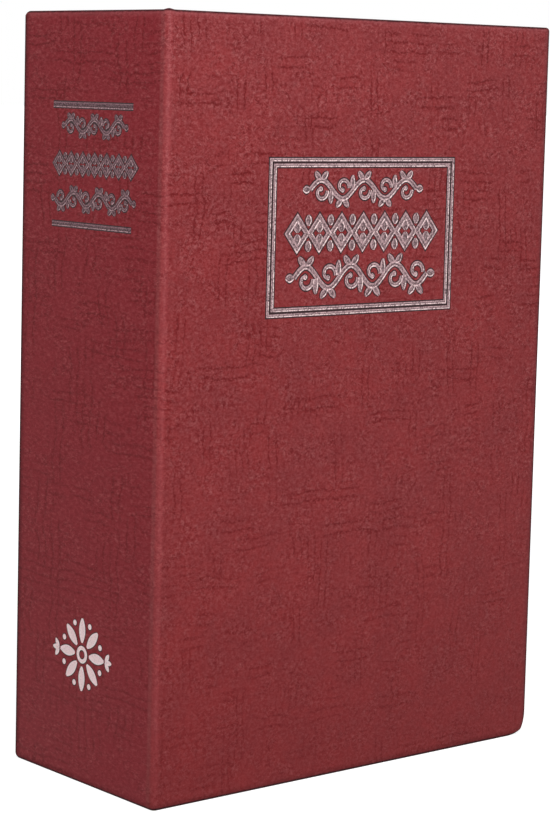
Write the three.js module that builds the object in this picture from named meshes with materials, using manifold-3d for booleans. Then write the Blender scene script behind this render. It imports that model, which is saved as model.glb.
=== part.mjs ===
// Book diversion safe: a hard case in leatherette round a ring of moulded pages that holds a small steel
// box with a hinged, keyed lid. The book stands closed. X runs from spine to fore-edge, Y from front cover
// to back cover, Z up, with the origin under the middle of the book. Millimetres.
import * as THREE from "three";
import { mergeVertices } from "three/addons/utils/BufferGeometryUtils.js";
import Module from "manifold-3d";

const wasm = await Module();
wasm.setup();

// The closed book
const bookWidth = 120;
const bookHeight = 180;
const bookThickness = 56.5;

// Case: greyboards wrapped in leatherette, lined with paper
const skinThickness = 0.4;
const boardThickness = 2.2;
const boardCornerRadius = 1;
const boardSlack = 0.3;
const turnInWidth = 12;
const creaseRadius = 1.6;
const creaseGap = 0.3;
const endpaperThickness = 0.2;
const endpaperMargin = 4;

// Page frame: the ring that looks like the edges of a stack of leaves
const squareWidth = 3;
const coverClearance = 0.4;
const frameWall = 9;
const leafPitch = 1.1;
const leafGroove = 0.25;

// Steel box pan and the rim in its mouth
const panClearance = 0.3;
const panSheet = 1;
const panCornerRadius = 2;
const rimWidth = 5;
const rimSheet = 1;
const rimCornerCut = 2;

// Lid
const lidRecess = 3;
const lidSheet = 1.2;
const lidEdgeClearance = 0.7;
const lidSeatClearance = 0.3;
const lidCornerRadius = 1.5;

// Hinge
const pinRadius = 0.9;
const pinHeadRadius = 1.4;
const pinHeadHeight = 0.8;
const pinClearance = 0.1;
const knuckleRadius = 1.7;
const knuckleCount = 5;
const knuckleGap = 0.3;
const hingeWallGap = 0.3;
const hingeMargin = 8;
const leafSheet = 0.8;
const boxLeafWidth = 12;
const lidLeafWidth = 12;

// Rivets and screws
const rivetRadius = 0.9;
const rivetHeadRadius = 1.6;
const rivetHeadHeight = 0.8;
const rivetClearance = 0.15;
const rivetEdge = 4;
const rivetTopShare = 0.6;
const rivetTopRise = 0.8;
const screwRadius = 1.1;
const screwHeadRadius = 2.4;
const screwHeadHeight = 1.4;
const screwLength = 7;
const screwHoleClearance = 0.3;
const screwEdge = 10.7;
const screwTopShare = 0.7;
const screwRimShare = 0.4;

// Cam lock
const flangeRadius = 8;
const flangeThickness = 1.2;
const barrelRadius = 5.5;
const barrelFlat = 4.8;
const barrelLength = 16;
const barrelClearance = 0.3;
const washerRadius = 7.2;
const washerThickness = 0.5;
const nutRadius = 7.5;
const nutThickness = 2;
const plugRadius = 4;
const plugClearance = 0.15;
const plugRecess = 0.2;
const tailWidth = 4.4;
const camThickness = 1.5;
const camHubRadius = 5;
const camWidth = 8;
const camReach = 12;
const camClearance = 0.3;
const camScrewRadius = 1.2;
const camScrewHeadRadius = 2.6;
const camScrewHeadHeight = 1.4;
const camScrewLength = 3;

// Strike bracket
const strikeSheet = 1;
const strikeLip = 5;
const strikeHeight = 24;
const strikeDepth = 12;
const strikeClearance = 0.4;
const strikeTipClearance = 0.7;

// Keys
const keyThickness = 1.4;
const keyBowRadius = 8;
const keyHoleRadius = 2.2;
const keyBladeWidth = 5.2;
const keyBladeLength = 13;
const keyShoulder = 3;
const keySlotClearance = 0.2;
const keyShoulderShare = 1.6;
// Cuts in the key's blade: distance back from the tip and height left, both in half blade widths
const keyCuts = [
  [1.6, 1],
  [2, 0.3],
  [2.6, 0.9],
  [3.2, 0.2],
  [3.9, 1],
];
const keyPlaces = [
  { x: -20, y: 11, turn: -0.12 },
  { x: -14, y: -7, turn: 0.2 },
];

// Facets
const arcSteps = 6;
const circleSides = 32;
const pinSides = 20;

// Planes of the case
const left = -bookWidth / 2;
const right = bookWidth / 2;
const front = -bookThickness / 2;
const back = bookThickness / 2;
const coverThickness = boardThickness + 2 * skinThickness;
const frontInner = front + coverThickness;
const backInner = back - coverThickness;
const spineInner = left + coverThickness;
const spineStart = frontInner + creaseGap;
const frontStart = left + creaseRadius + creaseGap;

// Planes of the page frame
const pageFront = frontInner + endpaperThickness + coverClearance;
const pageBack = backInner - endpaperThickness;
const pageRight = right - squareWidth;
const pageFoot = squareWidth;
const pageHead = bookHeight - squareWidth;

// Inside faces of the pan's walls
const panInset = panClearance + panSheet;
const panLeft = spineInner + frameWall + panInset;
const panRight = pageRight - frameWall - panInset;
const panFoot = pageFoot + frameWall + panInset;
const panHead = pageHead - frameWall - panInset;
const panFloor = pageBack - panSheet;
const lidFront = pageFront + lidRecess;
const lidBack = lidFront + lidSheet;

// Hinge axis and ends
const hingeX = panLeft + hingeWallGap + knuckleRadius;
const hingeY = lidFront - leafSheet / 2;
const hingeFoot = panFoot + hingeMargin;
const hingeHead = panHead - hingeMargin;
const lidLeft = hingeX + knuckleRadius + knuckleGap;

// Lock axis and the planes along it
const strikeLeg = panRight - strikeSheet;
const lockX = strikeLeg - strikeTipClearance - camReach;
const lockZ = bookHeight / 2;
const barrelBack = lidFront + barrelLength;
const camFront = barrelBack + camClearance;
const camBack = camFront + camThickness;
const strikeBack = camFront - strikeClearance;
const strikeFront = strikeBack - strikeSheet;

const finishes = {
  leatherette: new THREE.MeshStandardMaterial({ color: 0x853a3b, roughness: 0.62, metalness: 0 }),
  greyboard: new THREE.MeshStandardMaterial({ color: 0x8f897c, roughness: 0.9, metalness: 0 }),
  paper: new THREE.MeshStandardMaterial({ color: 0xe6dcc4, roughness: 0.85, metalness: 0 }),
  plastic: new THREE.MeshStandardMaterial({ color: 0xe8dcbc, roughness: 0.55, metalness: 0 }),
  blackSteel: new THREE.MeshStandardMaterial({ color: 0x1c1d1f, roughness: 0.5, metalness: 0.3 }),
  nickel: new THREE.MeshStandardMaterial({ color: 0xb9b7b0, roughness: 0.28, metalness: 1 }),
  zincSteel: new THREE.MeshStandardMaterial({ color: 0x9ea2a6, roughness: 0.4, metalness: 1 }),
};

// Solids, cuts and joins

function solid(geometry) {
  geometry.deleteAttribute("normal");
  geometry.deleteAttribute("uv");
  const merged = mergeVertices(geometry, 1e-4);
  return new wasm.Manifold(
    new wasm.Mesh({
      numProp: 3,
      vertProperties: merged.attributes.position.array,
      triVerts: new Uint32Array(merged.index.array),
    }),
  );
}

function box(x, y, z) {
  const geometry = new THREE.BoxGeometry(1, 1, 1);
  const corners = geometry.attributes.position;
  for (let i = 0; i < corners.count; i++) {
    const side = [corners.getX(i), corners.getY(i), corners.getZ(i)].map((value) => (value > 0 ? 1 : 0));
    corners.setXYZ(i, x[side[0]], y[side[1]], z[side[2]]);
  }
  return solid(geometry);
}

// An outline swept straight along one axis. Its coordinates are the other two axes, in the order x, y, z.
function sweep(points, axis, range) {
  const outline = new THREE.Shape(points.map(([u, v]) => new THREE.Vector2(u, v)));
  const geometry = new THREE.ExtrudeGeometry(outline, { depth: 1, bevelEnabled: false });
  const corners = geometry.attributes.position;
  for (let i = 0; i < corners.count; i++) {
    const [u, v] = [corners.getX(i), corners.getY(i)];
    const [near, far] = corners.getZ(i) > 0.5 ? [range[1], range[0]] : [range[0], range[1]];
    const places = { x: [near, u, v], y: [u, far, v], z: [u, v, near] };
    corners.setXYZ(i, ...places[axis]);
  }
  return solid(geometry);
}

// A turned piece: its profile lists radius and place along the axis, from the axis back to the axis.
function turned(profile, axis, u, v) {
  const rising = profile[0][1] < profile.at(-1)[1] ? profile : [...profile].reverse();
  const curve = rising.map(([radius, along]) => new THREE.Vector2(radius, along));
  const geometry = new THREE.LatheGeometry(curve, pinSides);
  const corners = geometry.attributes.position;
  for (let i = 0; i < corners.count; i++) {
    const [a, along, b] = [corners.getX(i), corners.getY(i), corners.getZ(i)];
    const places = { x: [along, u + b, v + a], y: [u + a, along, v + b], z: [u + b, v + a, along] };
    corners.setXYZ(i, ...places[axis]);
  }
  return solid(geometry);
}

function arc(u, v, radius, from, to, steps) {
  const points = [];
  for (let i = 0; i <= steps; i++) {
    const angle = from + ((to - from) * i) / steps;
    points.push([u + radius * Math.cos(angle), v + radius * Math.sin(angle)]);
  }
  return points;
}

function circle(u, v, radius, sides) {
  return arc(u, v, radius, 0, 2 * Math.PI, sides).slice(0, -1);
}

// A rectangle with a radius for each corner: low-low, high-low, high-high, low-high.
function rectangle(u, v, radii = [0, 0, 0, 0]) {
  const corners = [
    [u[0], v[0], 1, 1],
    [u[1], v[0], -1, 1],
    [u[1], v[1], -1, -1],
    [u[0], v[1], 1, -1],
  ];
  return corners.flatMap(([cu, cv, su, sv], i) => {
    const start = Math.PI * (1 + i / 2);
    const centre = [cu + su * radii[i], cv + sv * radii[i]];
    return radii[i] > 0 ? arc(...centre, radii[i], start, start + Math.PI / 2, arcSteps) : [[cu, cv]];
  });
}

function roundRectangle(u, v, radius) {
  return rectangle(u, v, [radius, radius, radius, radius]);
}

// A board's outline has its round corners at the fore-edge.
function boardOutline(x, z, radius) {
  return rectangle(x, z, [0, radius, radius, 0]);
}

function addPiece(group, name, shape, finish) {
  const { vertProperties, triVerts } = shape.getMesh();
  const geometry = new THREE.BufferGeometry();
  geometry.setAttribute("position", new THREE.BufferAttribute(vertProperties, 3));
  geometry.setIndex(new THREE.BufferAttribute(triVerts, 1));
  const mesh = new THREE.Mesh(geometry, finish);
  mesh.name = name;
  group.add(mesh);
  return mesh;
}

// Case

const boardZ = [skinThickness + boardSlack, bookHeight - skinThickness - boardSlack];
const boardInset = skinThickness + boardSlack;
const windowZ = [turnInWidth, bookHeight - turnInWidth];

function frontCovering() {
  const outer = boardOutline([frontStart, right], [0, bookHeight], boardCornerRadius);
  const cavity = boardOutline(
    [frontStart + skinThickness, right - skinThickness],
    [skinThickness, bookHeight - skinThickness],
    boardCornerRadius - skinThickness,
  );
  const boardPlanes = [front + skinThickness, frontInner - skinThickness];
  const windowX = [frontStart + turnInWidth, right - turnInWidth];
  return sweep(outer, "y", [front, frontInner])
    .subtract(sweep(cavity, "y", boardPlanes))
    .subtract(box(windowX, [boardPlanes[0], frontInner + 1], windowZ));
}

function frontBoard() {
  const x = [frontStart + boardInset, right - boardInset];
  const outline = boardOutline(x, boardZ, boardCornerRadius - boardInset);
  return sweep(outline, "y", [front + skinThickness, frontInner - skinThickness]);
}

function caseCovering() {
  const profile = [
    [left, spineStart],
    [spineInner, spineStart],
    [spineInner, backInner],
    [right, backInner],
    [right, back],
    ...arc(left + creaseRadius, back - creaseRadius, creaseRadius, Math.PI / 2, Math.PI, arcSteps),
  ];
  const corners = boardOutline([left - 1, right], [0, bookHeight], boardCornerRadius);
  const cavityZ = [skinThickness, bookHeight - skinThickness];
  const cavityRadius = boardCornerRadius - skinThickness;
  const backCavity = boardOutline([spineInner, right - skinThickness], cavityZ, cavityRadius);
  const spinePlanes = [left + skinThickness, spineInner - skinThickness];
  const backPlanes = [backInner + skinThickness, back - skinThickness];
  const backWindowX = [spineInner + turnInWidth, right - turnInWidth];
  return sweep(profile, "z", [0, bookHeight])
    .intersect(sweep(corners, "y", [front - 1, back + 1]))
    .subtract(box(spinePlanes, [spineStart + skinThickness, backInner], cavityZ))
    .subtract(sweep(backCavity, "y", backPlanes))
    .subtract(box([spinePlanes[0], spineInner + 1], [spineStart + skinThickness, backInner], windowZ))
    .subtract(box(backWindowX, [backInner - 1, backPlanes[1]], windowZ));
}

function spineBoard() {
  const y = [spineStart + boardInset, backInner - boardSlack];
  return box([left + skinThickness, spineInner - skinThickness], y, boardZ);
}

function backBoard() {
  const x = [spineInner + boardSlack, right - boardInset];
  const outline = boardOutline(x, boardZ, boardCornerRadius - boardInset);
  return sweep(outline, "y", [backInner + skinThickness, back - skinThickness]);
}

// The covering between spine and front cover, which bends when the cover opens
function creaseStrip() {
  const centre = [left + creaseRadius, front + creaseRadius];
  const end = spineStart - creaseGap;
  const outer = arc(...centre, creaseRadius, Math.PI, 1.5 * Math.PI, arcSteps);
  const inner = arc(...centre, creaseRadius - skinThickness, 1.5 * Math.PI, Math.PI, arcSteps);
  return sweep([[left, end], ...outer, ...inner, [left + skinThickness, end]], "z", [0, bookHeight]);
}

// A sheet over the turn-ins that also fills the window which they leave on the board
function endpaper(start, turnInFace, boardFace, innerFace) {
  const sheetX = [start + endpaperMargin, right - endpaperMargin];
  const sheetZ = [endpaperMargin, bookHeight - endpaperMargin];
  const padX = [start + turnInWidth + boardSlack, right - turnInWidth - boardSlack];
  const padZ = [windowZ[0] + boardSlack, windowZ[1] - boardSlack];
  const order = (planes) => planes.sort((a, b) => a - b);
  const sheet = box(sheetX, order([turnInFace, innerFace]), sheetZ);
  return sheet.add(box(padX, order([boardFace, innerFace]), padZ));
}

function frontEndpaper() {
  return endpaper(frontStart, frontInner, frontInner - skinThickness, frontInner + endpaperThickness);
}

function backEndpaper() {
  return endpaper(spineInner, backInner, backInner + skinThickness, pageBack);
}

// Page frame

// A block whose head, foot and fore-edge are grooved between the leaves; its spine side is flat.
function leafBlock() {
  const leaves = Math.round((pageBack - pageFront) / leafPitch);
  const stations = 2 * leaves;
  const points = [];
  const faces = [];
  for (let i = 0; i <= stations; i++) {
    const y = i === stations ? pageBack : pageFront + ((pageBack - pageFront) * i) / stations;
    const inset = (i % 2) * leafGroove;
    points.push(spineInner, y, pageFoot + inset, pageRight - inset, y, pageFoot + inset);
    points.push(pageRight - inset, y, pageHead - inset, spineInner, y, pageHead - inset);
  }
  for (let i = 0; i < stations; i++) {
    for (let side = 0; side < 4; side++) {
      const [a, b] = [4 * i + side, 4 * i + ((side + 1) % 4)];
      faces.push(a, b + 4, b, a, a + 4, b + 4);
    }
  }
  const last = 4 * stations;
  faces.push(0, 1, 2, 0, 2, 3);
  faces.push(last, last + 2, last + 1, last, last + 3, last + 2);
  const geometry = new THREE.BufferGeometry();
  geometry.setAttribute("position", new THREE.Float32BufferAttribute(points, 3));
  geometry.setIndex(faces);
  return solid(geometry);
}

function pageFrame() {
  const radius = panCornerRadius + panClearance;
  const x = [panLeft - panInset, panRight + panInset];
  const z = [panFoot - panInset, panHead + panInset];
  const opening = roundRectangle(x, z, radius);
  const ring = leafBlock().subtract(sweep(opening, "y", [pageFront - 1, pageBack + 1]));
  return screwPlaces().reduce((cut, place) => cut.subtract(screwHole(place)), ring);
}

// Steel box

function boxPan() {
  const x = [panLeft - panSheet, panRight + panSheet];
  const z = [panFoot - panSheet, panHead + panSheet];
  const outline = roundRectangle(x, z, panCornerRadius);
  const hollow = roundRectangle([panLeft, panRight], [panFoot, panHead], panCornerRadius - panSheet);
  const block = sweep(outline, "y", [lidFront, pageBack]);
  const pan = block.subtract(sweep(hollow, "y", [lidFront - 1, panFloor]));
  const hingeWall = [panLeft - panSheet - 1, panLeft + leafSheet];
  const holes = [
    ...screwPlaces().map(screwHole),
    ...strikeRivetPlaces().map(([y, z]) => rivetHole("x", y, z, [strikeLeg, panRight + panSheet + 1])),
    ...boxRivetPlaces().map(([y, z]) => rivetHole("x", y, z, hingeWall)),
  ];
  return holes.reduce((cut, hole) => cut.subtract(hole), pan);
}

function boxRim() {
  const y = [lidBack + lidSeatClearance, lidBack + lidSeatClearance + rimSheet];
  const outline = roundRectangle([panLeft, panRight], [panFoot, panHead], rimCornerCut);
  const windowX = [panLeft - 1, panRight - rimWidth];
  const window = box(windowX, [y[0] - 1, y[1] + 1], [panFoot + rimWidth, panHead - rimWidth]);
  return sweep(outline, "y", y).subtract(window);
}

// An angle on the fore-edge wall; the cam turns behind its lip
function strikeBracket() {
  const z = [lockZ - strikeHeight / 2, lockZ + strikeHeight / 2];
  const leg = box([strikeLeg, panRight], [strikeFront, strikeFront + strikeDepth], z);
  const lip = box([strikeLeg - strikeLip, panRight], [strikeFront, strikeBack], z);
  const through = [strikeLeg - 1, panRight + 1];
  const holes = strikeRivetPlaces().map(([y, place]) => rivetHole("x", y, place, through));
  return holes.reduce((cut, hole) => cut.subtract(hole), leg.add(lip));
}

// Hinge

function knuckles(own) {
  const pitch = (hingeHead - hingeFoot) / knuckleCount;
  const spans = [];
  for (let i = 0; i < knuckleCount; i++) {
    const low = i === 0 ? hingeFoot : hingeFoot + i * pitch + knuckleGap / 2;
    const high = i === knuckleCount - 1 ? hingeHead : hingeFoot + (i + 1) * pitch - knuckleGap / 2;
    if (i % 2 === own) spans.push([low, high]);
  }
  return spans;
}

function knuckle(z) {
  return sweep(circle(hingeX, hingeY, knuckleRadius, circleSides), "z", z);
}

function pinBore() {
  const bore = circle(hingeX, hingeY, pinRadius + pinClearance, pinSides);
  return sweep(bore, "z", [hingeFoot - 1, hingeHead + 1]);
}

function boxLeaf() {
  const x = [panLeft, panLeft + leafSheet];
  const y = [hingeY + knuckleRadius + knuckleGap, hingeY + boxLeafWidth];
  let leaf = box(x, y, [hingeFoot, hingeHead]);
  for (const z of knuckles(0)) {
    leaf = leaf.add(box(x, [hingeY, y[1]], z)).add(knuckle(z));
  }
  for (const [along, z] of boxRivetPlaces()) {
    leaf = leaf.subtract(rivetHole("x", along, z, [panLeft - 1, panLeft + leafSheet + 1]));
  }
  return leaf.subtract(pinBore());
}

function lidLeaf() {
  const x = [lidLeft, hingeX + lidLeafWidth];
  const y = [lidFront - leafSheet, lidFront];
  const ends = [hingeFoot + knuckleGap, hingeHead - knuckleGap];
  let leaf = box(x, y, ends);
  for (const z of knuckles(1)) {
    leaf = leaf.add(box([hingeX, x[1]], y, z)).add(knuckle(z));
  }
  for (const [along, z] of lidRivetPlaces()) {
    leaf = leaf.subtract(rivetHole("y", along, z, [lidFront - leafSheet - 1, lidFront + 1]));
  }
  return leaf.subtract(pinBore());
}

function hingePin() {
  return turned(
    [
      [0, hingeFoot - pinHeadHeight],
      [pinHeadRadius, hingeFoot - pinHeadHeight],
      [pinHeadRadius, hingeFoot],
      [pinRadius, hingeFoot],
      [pinRadius, hingeHead],
      [pinHeadRadius, hingeHead],
      [pinHeadRadius, hingeHead + pinHeadHeight],
      [0, hingeHead + pinHeadHeight],
    ],
    "z",
    hingeX,
    hingeY,
  );
}

// Rivets and screws

function alongHinge() {
  const middle = (hingeFoot + hingeHead) / 2;
  const reach = (hingeHead - hingeFoot) / 2 - hingeMargin;
  return [middle - reach, middle, middle + reach];
}

function boxRivetPlaces() {
  return alongHinge().map((z) => [hingeY + boxLeafWidth - rivetEdge, z]);
}

function lidRivetPlaces() {
  return alongHinge().map((z) => [hingeX + lidLeafWidth - rivetEdge, z]);
}

function strikeRivetPlaces() {
  const y = strikeFront + strikeDepth - rivetEdge;
  const reach = strikeHeight / 2 - rivetEdge;
  return [-reach, reach].map((offset) => [y, lockZ + offset]);
}

function rivetHole(axis, u, v, range) {
  return sweep(circle(u, v, rivetRadius + rivetClearance, pinSides), axis, range);
}

// A rivet whose domed head stands on face and whose shank ends flush at tail
function rivet(axis, u, v, face, tail) {
  const out = Math.sign(face - tail);
  return turned(
    [
      [0, face + out * rivetHeadHeight],
      [rivetTopShare * rivetHeadRadius, face + rivetTopRise * out * rivetHeadHeight],
      [rivetHeadRadius, face],
      [rivetRadius, face],
      [rivetRadius, tail],
      [0, tail],
    ],
    axis,
    u,
    v,
  );
}

// Box screws go through the foot and head walls of the pan into the page frame.
function screwPlaces() {
  const y = (lidFront + pageBack) / 2;
  const across = [panLeft + screwEdge, panRight - screwEdge];
  return [panFoot, panHead].flatMap((z) => across.map((x) => ({ x, y, z })));
}

function screwHole({ x, y, z }) {
  const out = z < lockZ ? -1 : 1;
  const range = [z - out, z + out * (screwLength + screwHoleClearance)].sort((a, b) => a - b);
  return sweep(circle(x, y, screwRadius + screwHoleClearance, pinSides), "z", range);
}

function boxScrew({ x, y, z }) {
  const out = z < lockZ ? -1 : 1;
  return turned(
    [
      [0, z - out * screwHeadHeight],
      [screwTopShare * screwHeadRadius, z - out * screwHeadHeight],
      [screwHeadRadius, z - screwRimShare * out * screwHeadHeight],
      [screwHeadRadius, z],
      [screwRadius, z],
      [screwRadius, z + out * (screwLength - screwRadius)],
      [0, z + out * screwLength],
    ],
    "z",
    x,
    y,
  );
}

// Lid and lock

// The barrel's section: a circle with two flats that keep it from turning in the lid
function barrelSection(clearance) {
  const flat = barrelFlat + clearance;
  const radius = barrelRadius + clearance;
  return circle(lockX, lockZ, radius, circleSides).map(([x, z]) => [
    Math.min(Math.max(x, lockX - flat), lockX + flat),
    z,
  ]);
}

function lidPanel() {
  const x = [lidLeft, panRight - lidEdgeClearance];
  const z = [panFoot + lidEdgeClearance, panHead - lidEdgeClearance];
  const sheet = sweep(boardOutline(x, z, lidCornerRadius), "y", [lidFront, lidBack]);
  const through = [lidFront - 1, lidBack + 1];
  const holes = lidRivetPlaces().map(([along, place]) => rivetHole("y", along, place, through));
  holes.push(sweep(barrelSection(barrelClearance), "y", through));
  return holes.reduce((cut, hole) => cut.subtract(hole), sheet);
}

function lockHousing() {
  const flangeFront = lidFront - flangeThickness;
  const bore = circle(lockX, lockZ, plugRadius + plugClearance, circleSides);
  return sweep(circle(lockX, lockZ, flangeRadius, circleSides), "y", [flangeFront, lidFront])
    .add(sweep(barrelSection(0), "y", [flangeFront, barrelBack]))
    .subtract(sweep(bore, "y", [flangeFront - 1, barrelBack + 1]));
}

function lockRing(outline, y) {
  const bore = circle(lockX, lockZ, barrelRadius + barrelClearance, circleSides);
  return sweep(outline, "y", y).subtract(sweep(bore, "y", [y[0] - 1, y[1] + 1]));
}

function lockWasher() {
  const outline = circle(lockX, lockZ, washerRadius, circleSides);
  return lockRing(outline, [lidBack, lidBack + washerThickness]);
}

function lockNut() {
  const seat = lidBack + washerThickness;
  return lockRing(circle(lockX, lockZ, nutRadius, 6), [seat, seat + nutThickness]);
}

function camScrewBore(clearance) {
  return sweep(circle(lockX, lockZ, camScrewRadius + clearance, pinSides), "y", [
    camBack - camScrewLength - clearance,
    camBack + 1,
  ]);
}

function lockPlug() {
  const plugFront = lidFront - flangeThickness + plugRecess;
  const slotX = keyThickness / 2 + keySlotClearance;
  const slotZ = keyBladeWidth / 2 + keySlotClearance;
  const slot = box(
    [lockX - slotX, lockX + slotX],
    [plugFront - 1, plugFront + keyBladeLength + keySlotClearance],
    [lockZ - slotZ, lockZ + slotZ],
  );
  const half = tailWidth / 2;
  return sweep(circle(lockX, lockZ, plugRadius, circleSides), "y", [plugFront, barrelBack])
    .add(box([lockX - half, lockX + half], [plugFront + 1, camBack], [lockZ - half, lockZ + half]))
    .subtract(slot)
    .subtract(camScrewBore(plugClearance));
}

// The cam points down when unlocked
function lockCam() {
  const y = [camFront, camBack];
  const hub = sweep(circle(lockX, lockZ, camHubRadius, circleSides), "y", y);
  const arm = box([lockX - camWidth / 2, lockX + camWidth / 2], y, [lockZ - camReach - 1, lockZ]);
  const sweptCircle = sweep(circle(lockX, lockZ, camReach, circleSides), "y", [camFront - 1, camBack + 1]);
  const half = tailWidth / 2 + plugClearance;
  const squareX = [lockX - half, lockX + half];
  const square = box(squareX, [camFront - 1, camBack + 1], [lockZ - half, lockZ + half]);
  return hub.add(arm).intersect(sweptCircle).subtract(square);
}

function camScrew() {
  return turned(
    [
      [0, camBack + camScrewHeadHeight],
      [screwTopShare * camScrewHeadRadius, camBack + camScrewHeadHeight],
      [camScrewHeadRadius, camBack + screwRimShare * camScrewHeadHeight],
      [camScrewHeadRadius, camBack],
      [camScrewRadius, camBack],
      [camScrewRadius, camBack - camScrewLength],
      [0, camBack - camScrewLength],
    ],
    "y",
    lockX,
    lockZ,
  );
}

// A flat key lying on the pan's foot wall, its bow's middle at the origin of its own mesh
function key() {
  const z = [0, keyThickness];
  const tip = keyBowRadius + keyShoulder + keyBladeLength;
  const half = keyBladeWidth / 2;
  const blade = [
    [0, -half],
    [tip - half, -half],
    [tip, 0],
    [tip - half, half],
    ...keyCuts.map(([back, height]) => [tip - back * half, height * half]),
    [0, half],
  ];
  const shoulderHalf = keyShoulderShare * half;
  const shoulder = rectangle([0, keyBowRadius + keyShoulder], [-shoulderHalf, shoulderHalf]);
  return sweep(circle(0, 0, keyBowRadius, circleSides), "z", z)
    .add(sweep(shoulder, "z", z))
    .add(sweep(blade, "z", z))
    .subtract(sweep(circle(-keyBowRadius / 2, 0, keyHoleRadius, pinSides), "z", [-1, keyThickness + 1]));
}

// The assembly

function addNumbered(group, name, places, make, finish) {
  places.forEach((place, i) => addPiece(group, name + "_" + (i + 1), make(place), finish));
}

const book = new THREE.Group();

function addCase() {
  addPiece(book, "spine_board", spineBoard(), finishes.greyboard);
  addPiece(book, "back_board", backBoard(), finishes.greyboard);
  addPiece(book, "case_covering", caseCovering(), finishes.leatherette);
  addPiece(book, "crease_strip", creaseStrip(), finishes.leatherette);
  addPiece(book, "back_endpaper", backEndpaper(), finishes.paper);
  addPiece(book, "page_frame", pageFrame(), finishes.plastic);
}

function addFrontCover() {
  const cover = new THREE.Group();
  addPiece(cover, "front_board", frontBoard(), finishes.greyboard);
  addPiece(cover, "front_covering", frontCovering(), finishes.leatherette);
  addPiece(cover, "front_endpaper", frontEndpaper(), finishes.paper);
  book.add(cover);
}

function addBox() {
  addPiece(book, "box_pan", boxPan(), finishes.blackSteel);
  addPiece(book, "box_rim", boxRim(), finishes.blackSteel);
  addPiece(book, "strike_bracket", strikeBracket(), finishes.zincSteel);
  addPiece(book, "hinge_box_leaf", boxLeaf(), finishes.zincSteel);
  addPiece(book, "hinge_pin", hingePin(), finishes.zincSteel);
  const wallTail = panSheet;
  addNumbered(
    book,
    "strike_rivet",
    strikeRivetPlaces(),
    ([y, z]) => rivet("x", y, z, strikeLeg, panRight + wallTail),
    finishes.zincSteel,
  );
  addNumbered(
    book,
    "box_leaf_rivet",
    boxRivetPlaces(),
    ([y, z]) => rivet("x", y, z, panLeft + leafSheet, panLeft - wallTail),
    finishes.zincSteel,
  );
  addNumbered(book, "box_screw", screwPlaces(), boxScrew, finishes.zincSteel);
}

function addKeys() {
  keyPlaces.forEach(({ x, y, turn }, i) => {
    const mesh = addPiece(book, "key_" + (i + 1), key(), finishes.nickel);
    mesh.position.set(x, y, panFoot);
    mesh.rotation.z = turn;
  });
}

function addLid() {
  const lid = new THREE.Group();
  addPiece(lid, "lid_panel", lidPanel(), finishes.blackSteel);
  addPiece(lid, "hinge_lid_leaf", lidLeaf(), finishes.zincSteel);
  addNumbered(
    lid,
    "lid_leaf_rivet",
    lidRivetPlaces(),
    ([x, z]) => rivet("y", x, z, lidFront - leafSheet, lidBack),
    finishes.zincSteel,
  );
  addPiece(lid, "lock_housing", lockHousing(), finishes.nickel);
  addPiece(lid, "lock_washer", lockWasher(), finishes.zincSteel);
  addPiece(lid, "lock_nut", lockNut(), finishes.nickel);
  book.add(lid);
}

function addLockPlug() {
  const plug = new THREE.Group();
  addPiece(plug, "lock_plug", lockPlug(), finishes.nickel);
  addPiece(plug, "lock_cam", lockCam(), finishes.zincSteel);
  addPiece(plug, "cam_screw", camScrew(), finishes.zincSteel);
  book.add(plug);
}

addCase();
addFrontCover();
addBox();
addKeys();
addLid();
addLockPlug();

export default book;
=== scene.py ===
"""Book diversion safe: the finished look of the leatherette case, the page ring and the steel box.

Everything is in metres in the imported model's frame: X from spine to fore-edge, Y from front cover to back
cover, Z up. The solids give every place, and the classes below give the surfaces and the fine shapes.
"""

import logging
import math
from dataclasses import dataclass, field
from enum import Enum
from typing import Sequence

import bmesh
import bpy
from mathutils import Matrix, Vector, noise

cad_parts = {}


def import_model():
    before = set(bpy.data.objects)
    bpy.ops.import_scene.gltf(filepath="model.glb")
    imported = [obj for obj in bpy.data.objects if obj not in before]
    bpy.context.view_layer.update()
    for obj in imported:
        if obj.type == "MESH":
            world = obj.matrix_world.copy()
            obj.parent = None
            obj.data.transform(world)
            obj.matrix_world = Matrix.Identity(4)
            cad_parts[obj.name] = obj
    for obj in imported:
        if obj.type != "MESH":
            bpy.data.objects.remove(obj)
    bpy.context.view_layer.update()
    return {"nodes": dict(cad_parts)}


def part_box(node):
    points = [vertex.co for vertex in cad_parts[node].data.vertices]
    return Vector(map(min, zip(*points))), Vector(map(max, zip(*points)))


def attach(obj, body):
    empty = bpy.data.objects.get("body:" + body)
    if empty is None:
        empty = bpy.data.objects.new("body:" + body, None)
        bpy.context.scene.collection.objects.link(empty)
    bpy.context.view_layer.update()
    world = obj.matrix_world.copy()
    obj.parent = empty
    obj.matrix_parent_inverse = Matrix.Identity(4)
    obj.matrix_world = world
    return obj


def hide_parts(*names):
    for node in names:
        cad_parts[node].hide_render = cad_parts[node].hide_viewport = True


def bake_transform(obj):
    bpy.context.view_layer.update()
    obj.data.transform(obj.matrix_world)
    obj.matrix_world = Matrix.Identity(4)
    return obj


LOG = logging.getLogger("book_safe")
MM = 0.001
WELD = 1e-6  # metres: vertices nearer than this are one
CLOSE = 1e-7  # metres: places nearer than this are the same
SLIGHT = 1e-9  # metres: lengths under this count as none
FLAT_ANGLE = math.radians(0.6)
SHARP_ANGLE = math.radians(28)

Colour = tuple[float, float, float, float]
Pair = tuple[float, float]
Triple = tuple[float, float, float]


def srgb(red: int, green: int, blue: int) -> Colour:
    """Turn a colour written as 0 to 255 into the linear colour that shaders take.

    Args:
        red: red, 0 to 255.
        green: green, 0 to 255.
        blue: blue, 0 to 255.

    Returns:
        Linear red, green, blue and an alpha of 1.
    """
    shares = [value / 255 for value in (red, green, blue)]
    linear = [share / 12.92 if share <= 0.04045 else ((share + 0.055) / 1.055) ** 2.4 for share in shares]
    return (*linear, 1.0)


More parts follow.
